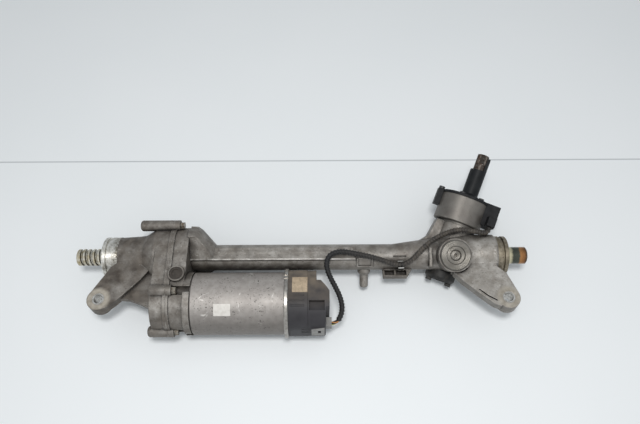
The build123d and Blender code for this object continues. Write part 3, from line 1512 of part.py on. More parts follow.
pinion_bearing_outer, pinion_bearing_inner = pinion_upper_races()
nut_bearing_outer, nut_bearing_inner = nut_races()
front_outer, front_inner = motor_races(MOTOR_FACE_X - 1)
rear_outer, rear_inner = motor_races(MOTOR_BACK - MOTOR_BEARING_LENGTH)
lead_path = conduit_path()

parts = {
    "rack_housing": rack_housing(),
    "drive_housing": drive_housing(),
    "left_mount_sleeve": mount_sleeve(0),
    "right_mount_sleeve": mount_sleeve(MOUNT_SPACING),
    "joint_screws": joint_screws(),
    "inspection_plug": inspection_plug(),
    "rack_bar": rack_bar(),
    "rack_bush": rack_bush(),
    "yoke": yoke(),
    "yoke_liner": yoke_liner(),
    "yoke_o_rings": yoke_o_rings(),
    "yoke_spring": yoke_spring(),
    "yoke_plug": yoke_plug(),
    "pinion": pinion(),
    "pinion_lower_bearing": pinion_lower_bearing(),
    "pinion_bearing_outer": pinion_bearing_outer,
    "pinion_bearing_inner": pinion_bearing_inner,
    "pinion_bearing_ring": pinion_bearing_ring(),
    "pinion_cap": pinion_cap(),
    "torsion_bar": torsion_bar(),
    "input_shaft": input_shaft(),
    "pickup_ring": pickup_ring(),
    "magnet_ring": magnet_ring(),
    "sensor_board": sensor_board(),
    "sensor_housing": sensor_housing(),
    "input_bearing": input_bearing(),
    "shaft_seal": shaft_seal(),
    "sensor_cover": sensor_cover(),
    "sensor_cover_screws": sensor_cover_screws(),
    "dust_sleeve": dust_sleeve(),
    "ball_nut": ball_nut(),
    "ball_return_tube": ball_return_tube(),
    "nut_bearing_outer": nut_bearing_outer,
    "nut_bearing_inner": nut_bearing_inner,
    "nut_bearing_ring": nut_bearing_ring(),
    "big_pulley": pulley(BIG_PULLEY_TEETH, BIG_PULLEY_RADIUS, NUT_D / 2, 0),
    "small_pulley": pulley(SMALL_PULLEY_TEETH, SMALL_PULLEY_RADIUS, MOTOR_SHAFT_D / 2, MOTOR_Y),
    "belt": belt(),
    "motor_shaft": motor_shaft(),
    "rotor_core": rotor_core(),
    "rotor_magnets": rotor_magnets(),
    "stator": stator(),
    "windings": windings(),
    "motor_front_bearing_outer": front_outer,
    "motor_front_bearing_inner": front_inner,
    "motor_rear_bearing_outer": rear_outer,
    "motor_rear_bearing_inner": rear_inner,
    "motor_can": motor_can(),
    "motor_end_ring": motor_end_ring(),
    "motor_screws": motor_screws(),
    "ecu_housing": ecu_housing(),
    "ecu_cover": ecu_cover(),
    "socket_pins": socket_pins(),
    "control_board": control_board(),
    "sensor_plug": sensor_plug(),
    "conduit": conduit(lead_path),
    "conduit_clip": conduit_clip(lead_path),
    "tower_plug": tower_plug(),
}

# The origin is the left mounting bore's centre on its lower seating face.
home = Pos(0, RACK_BEHIND_MOUNTS, -SEAT_ABOVE_RACK)
os.makedirs("parts", exist_ok=True)
for name, shape in parts.items():
    export_step(home * shape, f"parts/{name}.step")
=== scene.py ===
import math

import bmesh
import bpy
from mathutils import Matrix, Vector


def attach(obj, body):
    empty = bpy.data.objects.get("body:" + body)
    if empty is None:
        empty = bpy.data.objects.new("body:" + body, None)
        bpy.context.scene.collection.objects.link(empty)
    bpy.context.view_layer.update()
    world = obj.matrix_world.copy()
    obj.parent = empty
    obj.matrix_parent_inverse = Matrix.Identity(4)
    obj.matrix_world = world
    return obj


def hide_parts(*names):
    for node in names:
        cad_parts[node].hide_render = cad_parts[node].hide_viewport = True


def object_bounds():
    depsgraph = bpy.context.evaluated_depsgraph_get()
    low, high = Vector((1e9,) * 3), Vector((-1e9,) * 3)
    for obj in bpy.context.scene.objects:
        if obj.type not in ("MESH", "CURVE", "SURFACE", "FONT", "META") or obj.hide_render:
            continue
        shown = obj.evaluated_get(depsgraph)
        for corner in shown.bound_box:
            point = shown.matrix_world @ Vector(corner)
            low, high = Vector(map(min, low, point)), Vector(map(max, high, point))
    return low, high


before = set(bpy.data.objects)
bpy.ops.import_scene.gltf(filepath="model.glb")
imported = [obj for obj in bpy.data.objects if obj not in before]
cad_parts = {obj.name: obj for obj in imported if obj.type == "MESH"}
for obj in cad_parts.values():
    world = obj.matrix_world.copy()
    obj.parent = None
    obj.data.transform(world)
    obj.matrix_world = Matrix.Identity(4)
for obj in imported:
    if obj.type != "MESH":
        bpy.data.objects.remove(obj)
cad_low, cad_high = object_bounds()


# ---------------------------------------------------------------- camera
# The rack lies on a table and is seen from in front and above, 60 degrees down,
# from about 0.9 m, with a lens of normal view angle held a third of a degree off level.

CAMERA_PLACE = (0.3105, -0.3148, 0.8052)
CAMERA_DOWN = 60
CAMERA_ROLL = -0.28
LENS_LENGTH = 33.75
LENS_FRAME_WIDTH = 36

camera = bpy.data.objects.new("camera", bpy.data.cameras.new("camera"))
bpy.context.scene.collection.objects.link(camera)
camera.data.lens = LENS_LENGTH
camera.data.sensor_width = LENS_FRAME_WIDTH
camera.matrix_world = (
    Matrix.Translation(CAMERA_PLACE)
    @ Matrix.Rotation(math.radians(90 - CAMERA_DOWN), 4, "X")
    @ Matrix.Rotation(math.radians(CAMERA_ROLL), 4, "Z")
)
bpy.context.scene.camera = camera
bpy.context.scene.view_settings.view_transform = "Standard"


# ---------------------------------------------------------------- table and light
# A white lacquered table top in front of a second white sheet, with a thin joint between them.
# A small soft box hangs above and in front of the part, and a pale room, brightest towards the
# front and top, fills the shadows.

TABLE_SIZE = 6.0
TABLE_BELOW = 0.0004
TABLE_JOINT_Y = 0.286
TABLE_JOINT_WIDTH = 0.0022
SOFT_BOX_PLACE = (0.31, -0.31, 1.35)
SOFT_BOX_SIZE = (0.26, 0.2)
SOFT_BOX_TILT = 16
SOFT_BOX_WATTS = 11.0
SOFT_BOX_COLOUR = (1.0, 0.985, 0.965)
ROOM_BRIGHT_LEVEL = 0.77
ROOM_DIM_LEVEL = 0.26
BRIGHT_SIDE = (0, -0.75, 0.66)
BRIGHT_FROM = -0.1
BRIGHT_TO = 0.9
# Nearly all values of the noise pattern lie within this much of 0.5.
NOISE_REACH = 0.23


def linear(colour):
    """An sRGB hex colour as the linear colour that nodes take."""
    channels = [int(colour[i : i + 2], 16) / 255 for i in (1, 3, 5)]
    return [c / 12.92 if c <= 0.04045 else ((c + 0.055) / 1.055) ** 2.4 for c in channels] + [1]


def add_node(tree, kind, inputs=None, **settings):
    """Adds a node; each input is a plain value, or the output of another node."""
    node = tree.nodes.new(kind)
    for name, value in settings.items():
        setattr(node, name, value)
    for name, value in (inputs or {}).items():
        if isinstance(value, bpy.types.NodeSocket):
            tree.links.new(value, node.inputs[name])
        else:
            node.inputs[name].default_value = value
    return node


def new_finish(name, **sockets):
    """A material with its shader's plain values set, and its coordinates in millimetres."""
    material = bpy.data.materials.new(name)
    material.use_nodes = True
    tree = material.node_tree
    shader = tree.nodes["Principled BSDF"]
    for socket, value in sockets.items():
        shader.inputs[socket.replace("_", " ")].default_value = value
    place = add_node(tree, "ShaderNodeTexCoord").outputs["Object"]
    scaled = add_node(tree, "ShaderNodeVectorMath", {0: place, "Scale": 1000}, operation="SCALE")
    return material, tree, shader, scaled.outputs[0]


def stains(tree, place, size, cover, edge=0.08, detail=4.0, low=0.0, high=1.0):
    """Irregular stains of a size in mm on about that share of the surface: high on them, low off."""
    noise = add_node(tree, "ShaderNodeTexNoise", {"Vector": place, "Scale": 1 / size, "Detail": detail})
    middle = 0.5 + NOISE_REACH * (1 - 2 * cover)
    limits = {"Value": noise.outputs["Fac"], "From Min": middle - edge, "From Max": middle + edge}
    return add_node(tree, "ShaderNodeMapRange", {**limits, "To Min": low, "To Max": high}).outputs["Result"]


def layered(tree, colour, *layers):
    """A colour with others laid over it; each layer is a factor, and the colour where that is 1."""
    # A Mix node's colours are its inputs 6 and 7 and its output 2.
    for factor, over in layers:
        inputs = {"Factor": factor}
        for socket, shade in ((6, colour), (7, over)):
            inputs[socket] = linear(shade) if isinstance(shade, str) else shade
        colour = add_node(tree, "ShaderNodeMix", inputs, data_type="RGBA").outputs[2]
    return colour


# White lacquer, wiped: pale, faintly blue, with a soft satin sheen.
lacquer, tree, shader, place = new_finish(
    "white_lacquer", Roughness=0.5, IOR=1.45, Specular_IOR_Level=0.2
)
sheet_colour = layered(tree, "#e9eef1", (stains(tree, place, 240, 0.5, 0.4, detail=2), "#edf1f4"))
depth = add_node(tree, "ShaderNodeSeparateXYZ", {0: place}).outputs["Y"]
from_joint = add_node(tree, "ShaderNodeMath", {0: depth, 1: TABLE_JOINT_Y * 1000}, operation="SUBTRACT")
off_joint = add_node(tree, "ShaderNodeMath", {0: from_joint.outputs[0]}, operation="ABSOLUTE")
joint_width = TABLE_JOINT_WIDTH * 1000
joint_limits = {"Value": off_joint.outputs[0], "From Min": joint_width / 4, "From Max": joint_width * 3 / 4}
on_sheets = add_node(tree, "ShaderNodeMapRange", joint_limits).outputs["Result"]
tree.links.new(layered(tree, "#b9bec2", (on_sheets, sheet_colour)), shader.inputs["Base Color"])

table_mesh = bpy.data.meshes.new("table_top")
half = TABLE_SIZE / 2
corners = [(-half, -half), (half, -half), (half, half), (-half, half)]
table_mesh.from_pydata([(x, y, cad_low.z - TABLE_BELOW) for x, y in corners], [], [(0, 1, 2, 3)])
table = bpy.data.objects.new("table_top", table_mesh)
bpy.context.scene.collection.objects.link(table)
table_mesh.materials.append(lacquer)

soft_box = bpy.data.lights.new("soft_box", "AREA")
soft_box.shape = "RECTANGLE"
soft_box.size, soft_box.size_y = SOFT_BOX_SIZE
soft_box.energy = SOFT_BOX_WATTS
soft_box.color = SOFT_BOX_COLOUR
lamp = bpy.data.objects.new("soft_box", soft_box)
bpy.context.scene.collection.objects.link(lamp)
lamp.location = SOFT_BOX_PLACE
lamp.rotation_euler = (math.radians(SOFT_BOX_TILT), 0, 0)

room = bpy.data.worlds.new("pale_room")
bpy.context.scene.world = room
room.use_nodes = True
tree = room.node_tree
tree.nodes.clear()
direction = add_node(tree, "ShaderNodeTexCoord").outputs["Generated"]
facing = add_node(tree, "ShaderNodeVectorMath", {0: direction, 1: BRIGHT_SIDE}, operation="DOT_PRODUCT")
side_limits = {"Value": facing.outputs["Value"], "From Min": BRIGHT_FROM, "From Max": BRIGHT_TO}
on_bright_side = add_node(tree, "ShaderNodeMapRange", side_limits).outputs["Result"]
level_limits = {"Value": on_bright_side, "To Min": ROOM_DIM_LEVEL, "To Max": ROOM_BRIGHT_LEVEL}
room_level = add_node(tree, "ShaderNodeMapRange", level_limits).outputs["Result"]
rays = add_node(tree, "ShaderNodeLightPath").outputs
seen = rays["Is Camera Ray"]
for ray in ("Is Glossy Ray", "Is Transmission Ray"):
    seen = add_node(tree, "ShaderNodeMath", {0: seen, 1: rays[ray]}, operation="MAXIMUM").outputs[0]
light = add_node(tree, "ShaderNodeBackground", {"Color": linear("#f3f5f6"), "Strength": room_level})
wall_colour = layered(tree, "#c9ced2", (on_bright_side, "#eef1f3"))
walls = add_node(tree, "ShaderNodeBackground", {"Color": wall_colour, "Strength": 1.0})
either = add_node(tree, "ShaderNodeMixShader", {0: seen, 1: light.outputs[0], 2: walls.outputs[0]})
add_node(tree, "ShaderNodeOutputWorld", {"Surface": either.outputs[0]})


# ---------------------------------------------------------------- castings
# Two pressure die-cast aluminium housings, screwed together behind the ball nut.
# They are shot-blasted, and only the seats, the ear faces and the bores are machined.

RACK_Y = 0.075
RACK_Z = -0.002
MOUNT_X = (0.0, 0.574)
LEFT_SEAT_END = 0.0165
LEFT_SEAT_REACH = 0.031
RIGHT_SEAT_START = 0.5683
RIGHT_SEAT_REACH = 0.030
# From here on in this section, places and widths on the surface are in millimetres.
EAR_FACE_RADIUS = 15.5
EAR_FADE_OUTSIDE = 3
EAR_FADE_INSIDE = 2
LEDGE_LINE = (0, 61.4, 15.8)
LEDGE_REACH = 2.1
LEDGE_CORE = 0.9
LEDGE_START = (88, 100)
LEDGE_END = (370, 340)
SEAT_STAIN_WIDTH = 14
SEAT_RING_PITCH = 0.698
# The bands and rings of the wave pattern lie this far apart at scale 1.
WAVE_PITCH = math.pi / 10
# The greasy film's share at places along the rack, from one end of its range to the other.
FILM_FROM = -60
FILM_TO = 620
FILM_STOPS = [
    (-20, 1.0),
    (45, 0.95),
    (75, 0.62),
    (150, 0.5),
    (230, 0.25),
    (330, 0.3),
    (420, 0.55),
    (500, 0.45),
    (545, 0.1),
]


def coat(material, *names):
    """Gives CAD nodes one finish."""
    for name in names:
        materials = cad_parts[name].data.materials
        materials.clear()
        materials.append(material)


def coat_faces(name, material, is_there):
    """Gives a CAD node a second finish on the faces whose middle passes a test."""
    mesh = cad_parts[name].data
    mesh.materials.append(material)
    index = len(mesh.materials) - 1
    for face in mesh.polygons:
        if is_there(face.center):
            face.material_index = index


def off_rack_axis(point):
    """Distance of a point from the rack's axis."""
    return math.hypot(point.y - RACK_Y, point.z - RACK_Z)


def relief(tree, shader, height, depth, under=None):
    """Raises the surface by a height factor, over any relief under it; depth is in mm."""
    inputs = {"Height": height, "Distance": depth / 1000, "Strength": 1.0}
    if under is not None:
        inputs["Normal"] = under
    raised = add_node(tree, "ShaderNodeBump", inputs).outputs["Normal"]
    tree.links.new(raised, shader.inputs["Normal"])
    return raised


def grained(tree, shader, place, size, depth, under=None, detail=2.0):
    """Gives the surface an irregular grain of a size and a depth in mm."""
    noise = add_node(tree, "ShaderNodeTexNoise", {"Vector": place, "Scale": 1 / size, "Detail": detail})
    return relief(tree, shader, noise.outputs["Fac"], depth, under)


def where_all(tree, *factors):
    """One factor that is 1 only where all the others are."""
    result = factors[0]
    for factor in factors[1:]:
        result = add_node(tree, "ShaderNodeMath", {0: result, 1: factor}, operation="MULTIPLY").outputs[0]
    return result


def along(tree, vector, axis, start, end, high=1.0):
    """A factor that rises from 0 to high as one coordinate of a place or a normal goes to the end."""
    value = add_node(tree, "ShaderNodeSeparateXYZ", {0: vector}).outputs[axis]
    limits = {"Value": value, "From Min": start, "From Max": end, "To Max": high}
    return add_node(tree, "ShaderNodeMapRange", limits).outputs["Result"]


def near(tree, place, centre, reach, core, across=(1, 1, 1)):
    """A factor that is 1 within a core of a point, and 0 past its reach; in mm, across some axes."""
    offset = add_node(tree, "ShaderNodeVectorMath", {0: place, 1: centre}, operation="SUBTRACT")
    flat = add_node(tree, "ShaderNodeVectorMath", {0: offset.outputs[0], 1: across}, operation="MULTIPLY")
    distance = add_node(tree, "ShaderNodeVectorMath", {0: flat.outputs[0]}, operation="LENGTH")
    limits = {"Value": distance.outputs["Value"], "From Min": reach, "From Max": core}
    return add_node(tree, "ShaderNodeMapRange", limits).outputs["Result"]


def in_hollows(tree, width, open_light, shut_light):
    """A factor that is 1 deep in hollows of about a width in metres, by the light that gets in."""
    light = add_node(tree, "ShaderNodeAmbientOcclusion", {"Distance": width}, samples=6).outputs["AO"]
    limits = {"Value": light, "From Min": open_light, "From Max": shut_light}
    return add_node(tree, "ShaderNodeMapRange", limits).outputs["Result"]


# Die-cast aluminium, blasted, then years under a car: dull mottled grey, brown-black road grease,
# more of it at the drive end, pale rubs on the edges. The hollows are darkened with grease and
# painted shade, the crevices and steep sides with painted shade, and a painted highlight runs along the
# ledge.
casting, tree, shader, place = new_finish("die_cast_aluminium")
rounded = add_node(tree, "ShaderNodeBevel", {"Radius": 0.0016}, samples=4).outputs["Normal"]
true_normal = add_node(tree, "ShaderNodeNewGeometry").outputs["Normal"]
film_ramp = add_node(tree, "ShaderNodeValToRGB", {"Fac": along(tree, place, "X", FILM_FROM, FILM_TO)})
while len(film_ramp.color_ramp.elements) < len(FILM_STOPS):
    film_ramp.color_ramp.elements.new(0.5)
for stop, (where, amount) in zip(film_ramp.color_ramp.elements, FILM_STOPS):
    stop.position = (where - FILM_FROM) / (FILM_TO - FILM_FROM)
    stop.color = (amount, amount, amount, 1)
patchy = stains(tree, place, 24, 0.62, 0.16, low=0.45)
film = where_all(tree, film_ramp.outputs["Color"], patchy)
# Steep side faces are darkened: painted shade.
painted_side_shade = along(tree, rounded, "Z", 0.7, 0.0, high=0.5)
streaks = where_all(tree, film, stains(tree, place, 13, 0.42, 0.12))
dusty = where_all(tree, film, stains(tree, place, 15, 0.32, 0.16))
# Hollows are darkened brown-black: grease, and painted shade where light doesn't reach.
in_hollow = in_hollows(tree, 0.016, 0.88, 0.42)
grease_and_shade = where_all(tree, in_hollow, stains(tree, place, 9, 0.85, 0.25))
# Crevices, fillets and joints are darkened almost to black: painted shade.
crevice_shade = in_hollows(tree, 0.0035, 0.86, 0.5)
# Edges that stand free are rubbed pale.
turned_away = add_node(tree, "ShaderNodeVectorMath", {0: rounded, 1: true_normal}, operation="DOT_PRODUCT")
edge_limits = {"Value": turned_away.outputs["Value"], "From Min": 0.99, "From Max": 0.9}
on_edge = add_node(tree, "ShaderNodeMapRange", edge_limits).outputs["Result"]
free_limits = {"Value": crevice_shade, "To Min": 0.75, "To Max": 0.0}
stands_free = add_node(tree, "ShaderNodeMapRange", free_limits).outputs["Result"]
rubbed = where_all(tree, on_edge, stains(tree, place, 8, 0.3, 0.12), stands_free)
# A painted highlight along the edge of the ledge on the tube.
ledge_highlight = where_all(
    tree,
    near(tree, place, LEDGE_LINE, LEDGE_REACH, LEDGE_CORE, (0, 1, 1)),
    along(tree, place, "X", *LEDGE_START),
    along(tree, place, "X", *LEDGE_END),
    stains(tree, place, 11, 0.55, 0.2),
)
# The milled tops of both ears, kept clean by their bolts.
ear_reach = EAR_FACE_RADIUS + EAR_FADE_OUTSIDE
ear_core = EAR_FACE_RADIUS - EAR_FADE_INSIDE
ears = [near(tree, place, (x * 1000, 0, 0), ear_reach, ear_core, (1, 1, 0)) for x in MOUNT_X]
at_ear = add_node(tree, "ShaderNodeMath", {0: ears[0], 1: ears[1]}, operation="MAXIMUM").outputs[0]
milled = where_all(tree, at_ear, along(tree, true_normal, "Z", 0.9, 0.98))
milled_colour = layered(tree, "#a9a398", (stains(tree, place, 6, 0.4, 0.2), "#878075"))
skin = layered(
    tree,
    "#bab7b2",
    (stains(tree, place, 30, 0.5, 0.25), "#9f9b95"),
    (stains(tree, place, 10, 0.45, 0.14), "#8c8780"),
    (stains(tree, place, 2.8, 0.2, 0.07), "#7a756f"),
    (stains(tree, place, 5, 0.12, 0.06), "#bebbb6"),
    (film, "#443e38"),
    (painted_side_shade, "#4a453f"),
    (streaks, "#3a322b"),
    (dusty, "#6f6860"),
    (grease_and_shade, "#241f1a"),
    (crevice_shade, "#1c1815"),
    (rubbed, "#c9c6c1"),
    (ledge_highlight, "#cdcac6"),
    (milled, milled_colour),
)
tree.links.new(skin, shader.inputs["Base Color"])
dull = add_node(tree, "ShaderNodeMath", {0: film, 1: grease_and_shade}, operation="MAXIMUM").outputs[0]
for socket, clean, dirty in (("Roughness", 0.42, 0.62), ("Metallic", 0.5, 0.15)):
    limits = {"Value": dull, "To Min": clean, "To Max": dirty}
    tree.links.new(add_node(tree, "ShaderNodeMapRange", limits).outputs["Result"], shader.inputs[socket])
# Shallow waves of the cast skin, and over them the blasted grain, which is really 0.3 mm and is
# drawn at 1.6 mm so that it shows.
waves = grained(tree, shader, place, 11, 0.9, rounded)
grained(tree, shader, place, 1.6, 0.22, waves, detail=3)
coat(casting, "rack_housing", "drive_housing")

# Turned aluminium: bright, with tool rings round the rack's axis, gone dull in patches. The rings
# are really 0.2 mm apart and are drawn at 0.7 mm so that they show.
turned_seat, tree, shader, place = new_finish("turned_aluminium", Metallic=0.95)
seat_end = LEFT_SEAT_END * 1000
to_seat_end = along(tree, place, "X", seat_end - SEAT_STAIN_WIDTH, seat_end)
seat_colour = layered(
    tree,
    "#dedcd6",
    (stains(tree, place, 7, 0.4, 0.15), "#a29e95"),
    (where_all(tree, to_seat_end, stains(tree, place, 3, 0.62, 0.2)), "#6f695e"),
    (stains(tree, place, 2.4, 0.12, 0.05), "#5d564b"),
)
tree.links.new(seat_colour, shader.inputs["Base Color"])
tree.links.new(stains(tree, place, 5, 0.5, 0.2, low=0.22, high=0.45), shader.inputs["Roughness"])
ring_shape = {"Vector": place, "Scale": WAVE_PITCH / SEAT_RING_PITCH, "Distortion": 0.4}
rings = add_node(tree, "ShaderNodeTexWave", ring_shape, bands_direction="X")
relief(tree, shader, rings.outputs["Fac"], 0.05)
coat_faces(
    "drive_housing", turned_seat, lambda c: c.x < LEFT_SEAT_END and off_rack_axis(c) < LEFT_SEAT_REACH
)

# The same turned seat at the pinion end has yellowed under its old bellows.
yellowed_seat, tree, shader, place = new_finish("yellowed_turned_aluminium", Metallic=0.85)
seat_colour = layered(
    tree,
    "#958c7c",
    (stains(tree, place, 8, 0.5, 0.2), "#6a6253"),
    (stains(tree, place, 3, 0.2, 0.06), "#4f493f"),
)
tree.links.new(seat_colour, shader.inputs["Base Color"])
tree.links.new(stains(tree, place, 5, 0.5, 0.2, low=0.32, high=0.55), shader.inputs["Roughness"])
coat_faces(
    "rack_housing", yellowed_seat, lambda c: c.x > RIGHT_SEAT_START and off_rack_axis(c) < RIGHT_SEAT_REACH
)


# ---------------------------------------------------------------- sleeves, screws and the inspection plug
# Each ear has a rolled steel sleeve pressed in, so that the subframe bolt can't crush it.
# Six flanged hexagon screws join the castings, and a plastic plug closes the belt's window.


def mottled_finish(name, colour, stain_colour, size, cover, edge, **sockets):
    """A finish of one colour with stains of another; the stains' size is in mm."""
    material, tree, shader, place = new_finish(name, **sockets)
    mottled = layered(tree, colour, (stains(tree, place, size, cover, edge), stain_colour))
    tree.links.new(mottled, shader.inputs["Base Color"])
    return material, tree, shader, place


# Rolled and zinc-plated steel: bright grey, with dull white bloom.
sleeve_steel, tree, shader, place = mottled_finish(
    "zinc_plated_steel", "#c6c4c0", "#918e88", 4, 0.45, 0.2, Metallic=0.95
)
tree.links.new(stains(tree, place, 3, 0.5, 0.2, low=0.2, high=0.45), shader.inputs["Roughness"])
coat(sleeve_steel, "left_mount_sleeve", "right_mount_sleeve", "conduit_clip")

# Screws, zinc-plated and chromated: grey with a faint yellow cast and brown rust at the corners.
screw_steel, tree, shader, place = new_finish("chromated_screw_steel", Metallic=0.9)
screw_colour = layered(
    tree,
    "#99948a",
    (stains(tree, place, 5, 0.45, 0.15), "#6b665d"),
    (stains(tree, place, 2.4, 0.25, 0.06), "#6b4a33"),
)
tree.links.new(screw_colour, shader.inputs["Base Color"])
tree.links.new(stains(tree, place, 3, 0.5, 0.2, low=0.28, high=0.5), shader.inputs["Roughness"])
coat(screw_steel, "joint_screws", "motor_screws")

# Cover screws in black zinc: nearly black, satin, with a dull metal glint.
black_zinc = mottled_finish(
    "black_zinc_screws", "#232426", "#4a4a4b", 3, 0.4, 0.15, Metallic=0.4, Roughness=0.45
)[0]
coat(black_zinc, "sensor_cover_screws")

# Moulded polyamide plug: brown-black, satin, dusty in its corners.
plug_plastic, tree, shader, place = mottled_finish(
    "moulded_polyamide_plug", "#332f2b", "#443e39", 5, 0.45, 0.2, Roughness=0.55, Specular_IOR_Level=0.3
)
grained(tree, shader, place, 1.2, 0.12)
coat(plug_plastic, "inspection_plug")


# ---------------------------------------------------------------- rack bar and its bush
# The rack bar is one forged and ground steel bar: ball groove at the left, teeth at the right.
# A split plastic bush guides its right end.

# The heat colours at the bar's right end, between two places in mm, and how far they waver.
BAR_TINT_START = (585, 588)
BAR_BANDS_FROM = 590
BAR_BANDS_TO = 619
BAR_BANDS_WAVER = 5.0
BAR_BANDS = [
    (0.0, "#c2bba0"),
    (0.16, "#b8b196"),
    (0.25, "#484b44"),
    (0.55, "#50534b"),
    (0.62, "#a87a50"),
    (0.8, "#8a6242"),
    (0.92, "#4c4034"),
]

# Ground and induction-hardened steel, oiled: bright, faint golden heat and oil tint, dark
# oil left in the groove; the right end is straw, blued and copper-coloured in bands.
ground_steel, tree, shader, place = new_finish("ground_rack_steel", Metallic=1.0)
wobble = add_node(tree, "ShaderNodeTexNoise", {"Vector": place, "Scale": 1 / 9, "Detail": 2}).outputs["Fac"]
bar_x = add_node(tree, "ShaderNodeSeparateXYZ", {0: place}).outputs["X"]
shift = {0: wobble, 1: BAR_BANDS_WAVER, 2: bar_x}
shifted = add_node(tree, "ShaderNodeMath", shift, operation="MULTIPLY_ADD").outputs[0]
band_limits = {"Value": shifted, "From Min": BAR_BANDS_FROM, "From Max": BAR_BANDS_TO}
across_bands = add_node(tree, "ShaderNodeMapRange", band_limits).outputs["Result"]
bands = add_node(tree, "ShaderNodeValToRGB", {"Fac": across_bands})
while len(bands.color_ramp.elements) < len(BAR_BANDS):
    bands.color_ramp.elements.new(0.5)
for stop, (where, colour) in zip(bands.color_ramp.elements, BAR_BANDS):
    stop.position = where
    stop.color = linear(colour)
bar_colour = layered(
    tree,
    "#d3cfc4",
    (stains(tree, place, 6, 0.45, 0.15), "#9d8e69"),
    (in_hollows(tree, 0.006, 0.92, 0.68), "#2a2318"),
    (along(tree, place, "X", *BAR_TINT_START), bands.outputs["Color"]),
)
tree.links.new(bar_colour, shader.inputs["Base Color"])
tree.links.new(stains(tree, place, 6, 0.45, 0.15, low=0.16, high=0.3), shader.inputs["Roughness"])
coat(ground_steel, "rack_bar")

# Moulded acetal bush: off-white, waxy, greased.
acetal = mottled_finish("moulded_acetal", "#d9d4c6", "#a49473", 6, 0.4, 0.2, Roughness=0.4, IOR=1.48)[0]
coat(acetal, "rack_bush")


# ---------------------------------------------------------------- yoke
# A die-cast yoke with a low-friction liner presses the rack bar against the pinion.
# Disc springs behind it are set by a turned threaded plug.

YOKE_PLUG_PLACE = (0.503, 0.0560, 0.0388)
YOKE_TILT = 25
YOKE_RING_PITCH = 0.982

# Turned plug face: pale grey with tool rings 1 mm apart, drawn wider than the real feed so they show.
plug_face, tree, shader, place = new_finish("turned_plug_aluminium", Metallic=0.9)
plug_centre = [v * 1000 for v in YOKE_PLUG_PLACE]
centred = add_node(tree, "ShaderNodeVectorMath", {0: place, 1: plug_centre}, operation="SUBTRACT").outputs[0]
turn = {"Vector": centred, "Angle": -math.radians(YOKE_TILT)}
levelled = add_node(tree, "ShaderNodeVectorRotate", turn, rotation_type="X_AXIS").outputs["Vector"]
tool_rings = add_node(
    tree,
    "ShaderNodeTexWave",
    {"Vector": levelled, "Scale": WAVE_PITCH / YOKE_RING_PITCH, "Distortion": 0.6, "Detail": 1},
    wave_type="RINGS",
    rings_direction="Z",
).outputs["Fac"]
# The face's grooves and hollows are darker: painted shade.
face_colour = layered(
    tree,
    "#787570",
    (stains(tree, place, 9, 0.5, 0.2), "#68655f"),
    (stains(tree, place, 2.2, 0.14, 0.05), "#58544e"),
    (in_hollows(tree, 0.004, 0.85, 0.4), "#5f5b55"),
)
tree.links.new(face_colour, shader.inputs["Base Color"])
ring_gloss = add_node(tree, "ShaderNodeMapRange", {"Value": tool_rings, "To Min": 0.34, "To Max": 0.5})
tree.links.new(ring_gloss.outputs["Result"], shader.inputs["Roughness"])
relief(tree, shader, tool_rings, 0.12)
coat(plug_face, "yoke_plug")

# Sintered and die-cast inner pieces, oiled: mid grey, satin.
inner_casting = mottled_finish(
    "oiled_inner_casting", "#9b9892", "#7d7a73", 8, 0.5, 0.2, Metallic=0.9, Roughness=0.35
)[0]
coat(inner_casting, "yoke", "big_pulley", "small_pulley")

# Bronze-filled bearing liner: brown with a metal glint.
liner_bronze = mottled_finish(
    "bronze_filled_liner", "#7a5f3c", "#5c4a33", 3, 0.4, 0.1, Metallic=0.6, Roughness=0.4
)[0]
coat(liner_bronze, "yoke_liner")

# Moulded nitrile rubber: black, matt, with a slight grey bloom.
rubber = mottled_finish(
    "moulded_nitrile_rubber", "#232426", "#3b3c3e", 7, 0.35, 0.2, Roughness=0.62, IOR=1.52
)[0]
coat(rubber, "yoke_o_rings", "shaft_seal", "belt")


# ---------------------------------------------------------------- pinion, ball nut and bearings
# Hobbed pinion, ground ball nut and their ball bearings, all hardened steel and oiled.
# The pinion's lower bearing sits in a black cap screwed into the casting.

# Hardened and ground steel: bright grey with a thin oil film in patches.
bearing_steel, tree, shader, place = mottled_finish(
    "ground_bearing_steel", "#c9c8c4", "#9d9789", 5, 0.4, 0.2, Metallic=1.0
)
tree.links.new(stains(tree, place, 4, 0.5, 0.2, low=0.15, high=0.32), shader.inputs["Roughness"])
coat(
    bearing_steel,
    "pinion",
    "pinion_lower_bearing",
    "pinion_bearing_outer",
    "pinion_bearing_inner",
    "pinion_bearing_ring",
    "torsion_bar",
    "input_bearing",
    "ball_nut",
    "ball_return_tube",
    "nut_bearing_outer",
    "nut_bearing_inner",
    "nut_bearing_ring",
    "yoke_spring",
    "motor_shaft",
    "motor_front_bearing_outer",
    "motor_front_bearing_inner",
    "motor_rear_bearing_outer",
    "motor_rear_bearing_inner",
)

# Phosphated steel cap: nearly black, dull, with a grey dust in patches.
phosphate, tree, shader, place = mottled_finish(
    "phosphated_steel_cap",
    "#1b1b1b",
    "#302e2b",
    6,
    0.4,
    0.15,
    Roughness=0.55,
    Metallic=0.1,
    Specular_IOR_Level=0.35,
)
rounded = add_node(tree, "ShaderNodeBevel", {"Radius": 0.001}, samples=4).outputs["Normal"]
grained(tree, shader, place, 1.5, 0.15, rounded)
coat(phosphate, "pinion_cap")


# ---------------------------------------------------------------- torque sensor and input shaft
# The sensor stands on the tower in its own die-cast can, closed by a moulded cover with a plug block.
# The splined input shaft comes out through a rubber dust sleeve.

SCUFF_CENTRE = (489, 117, 38)
SCUFF_REACH = 13
SCUFF_CORE = 5
BOARD_TRACK_LENGTH = 2.0

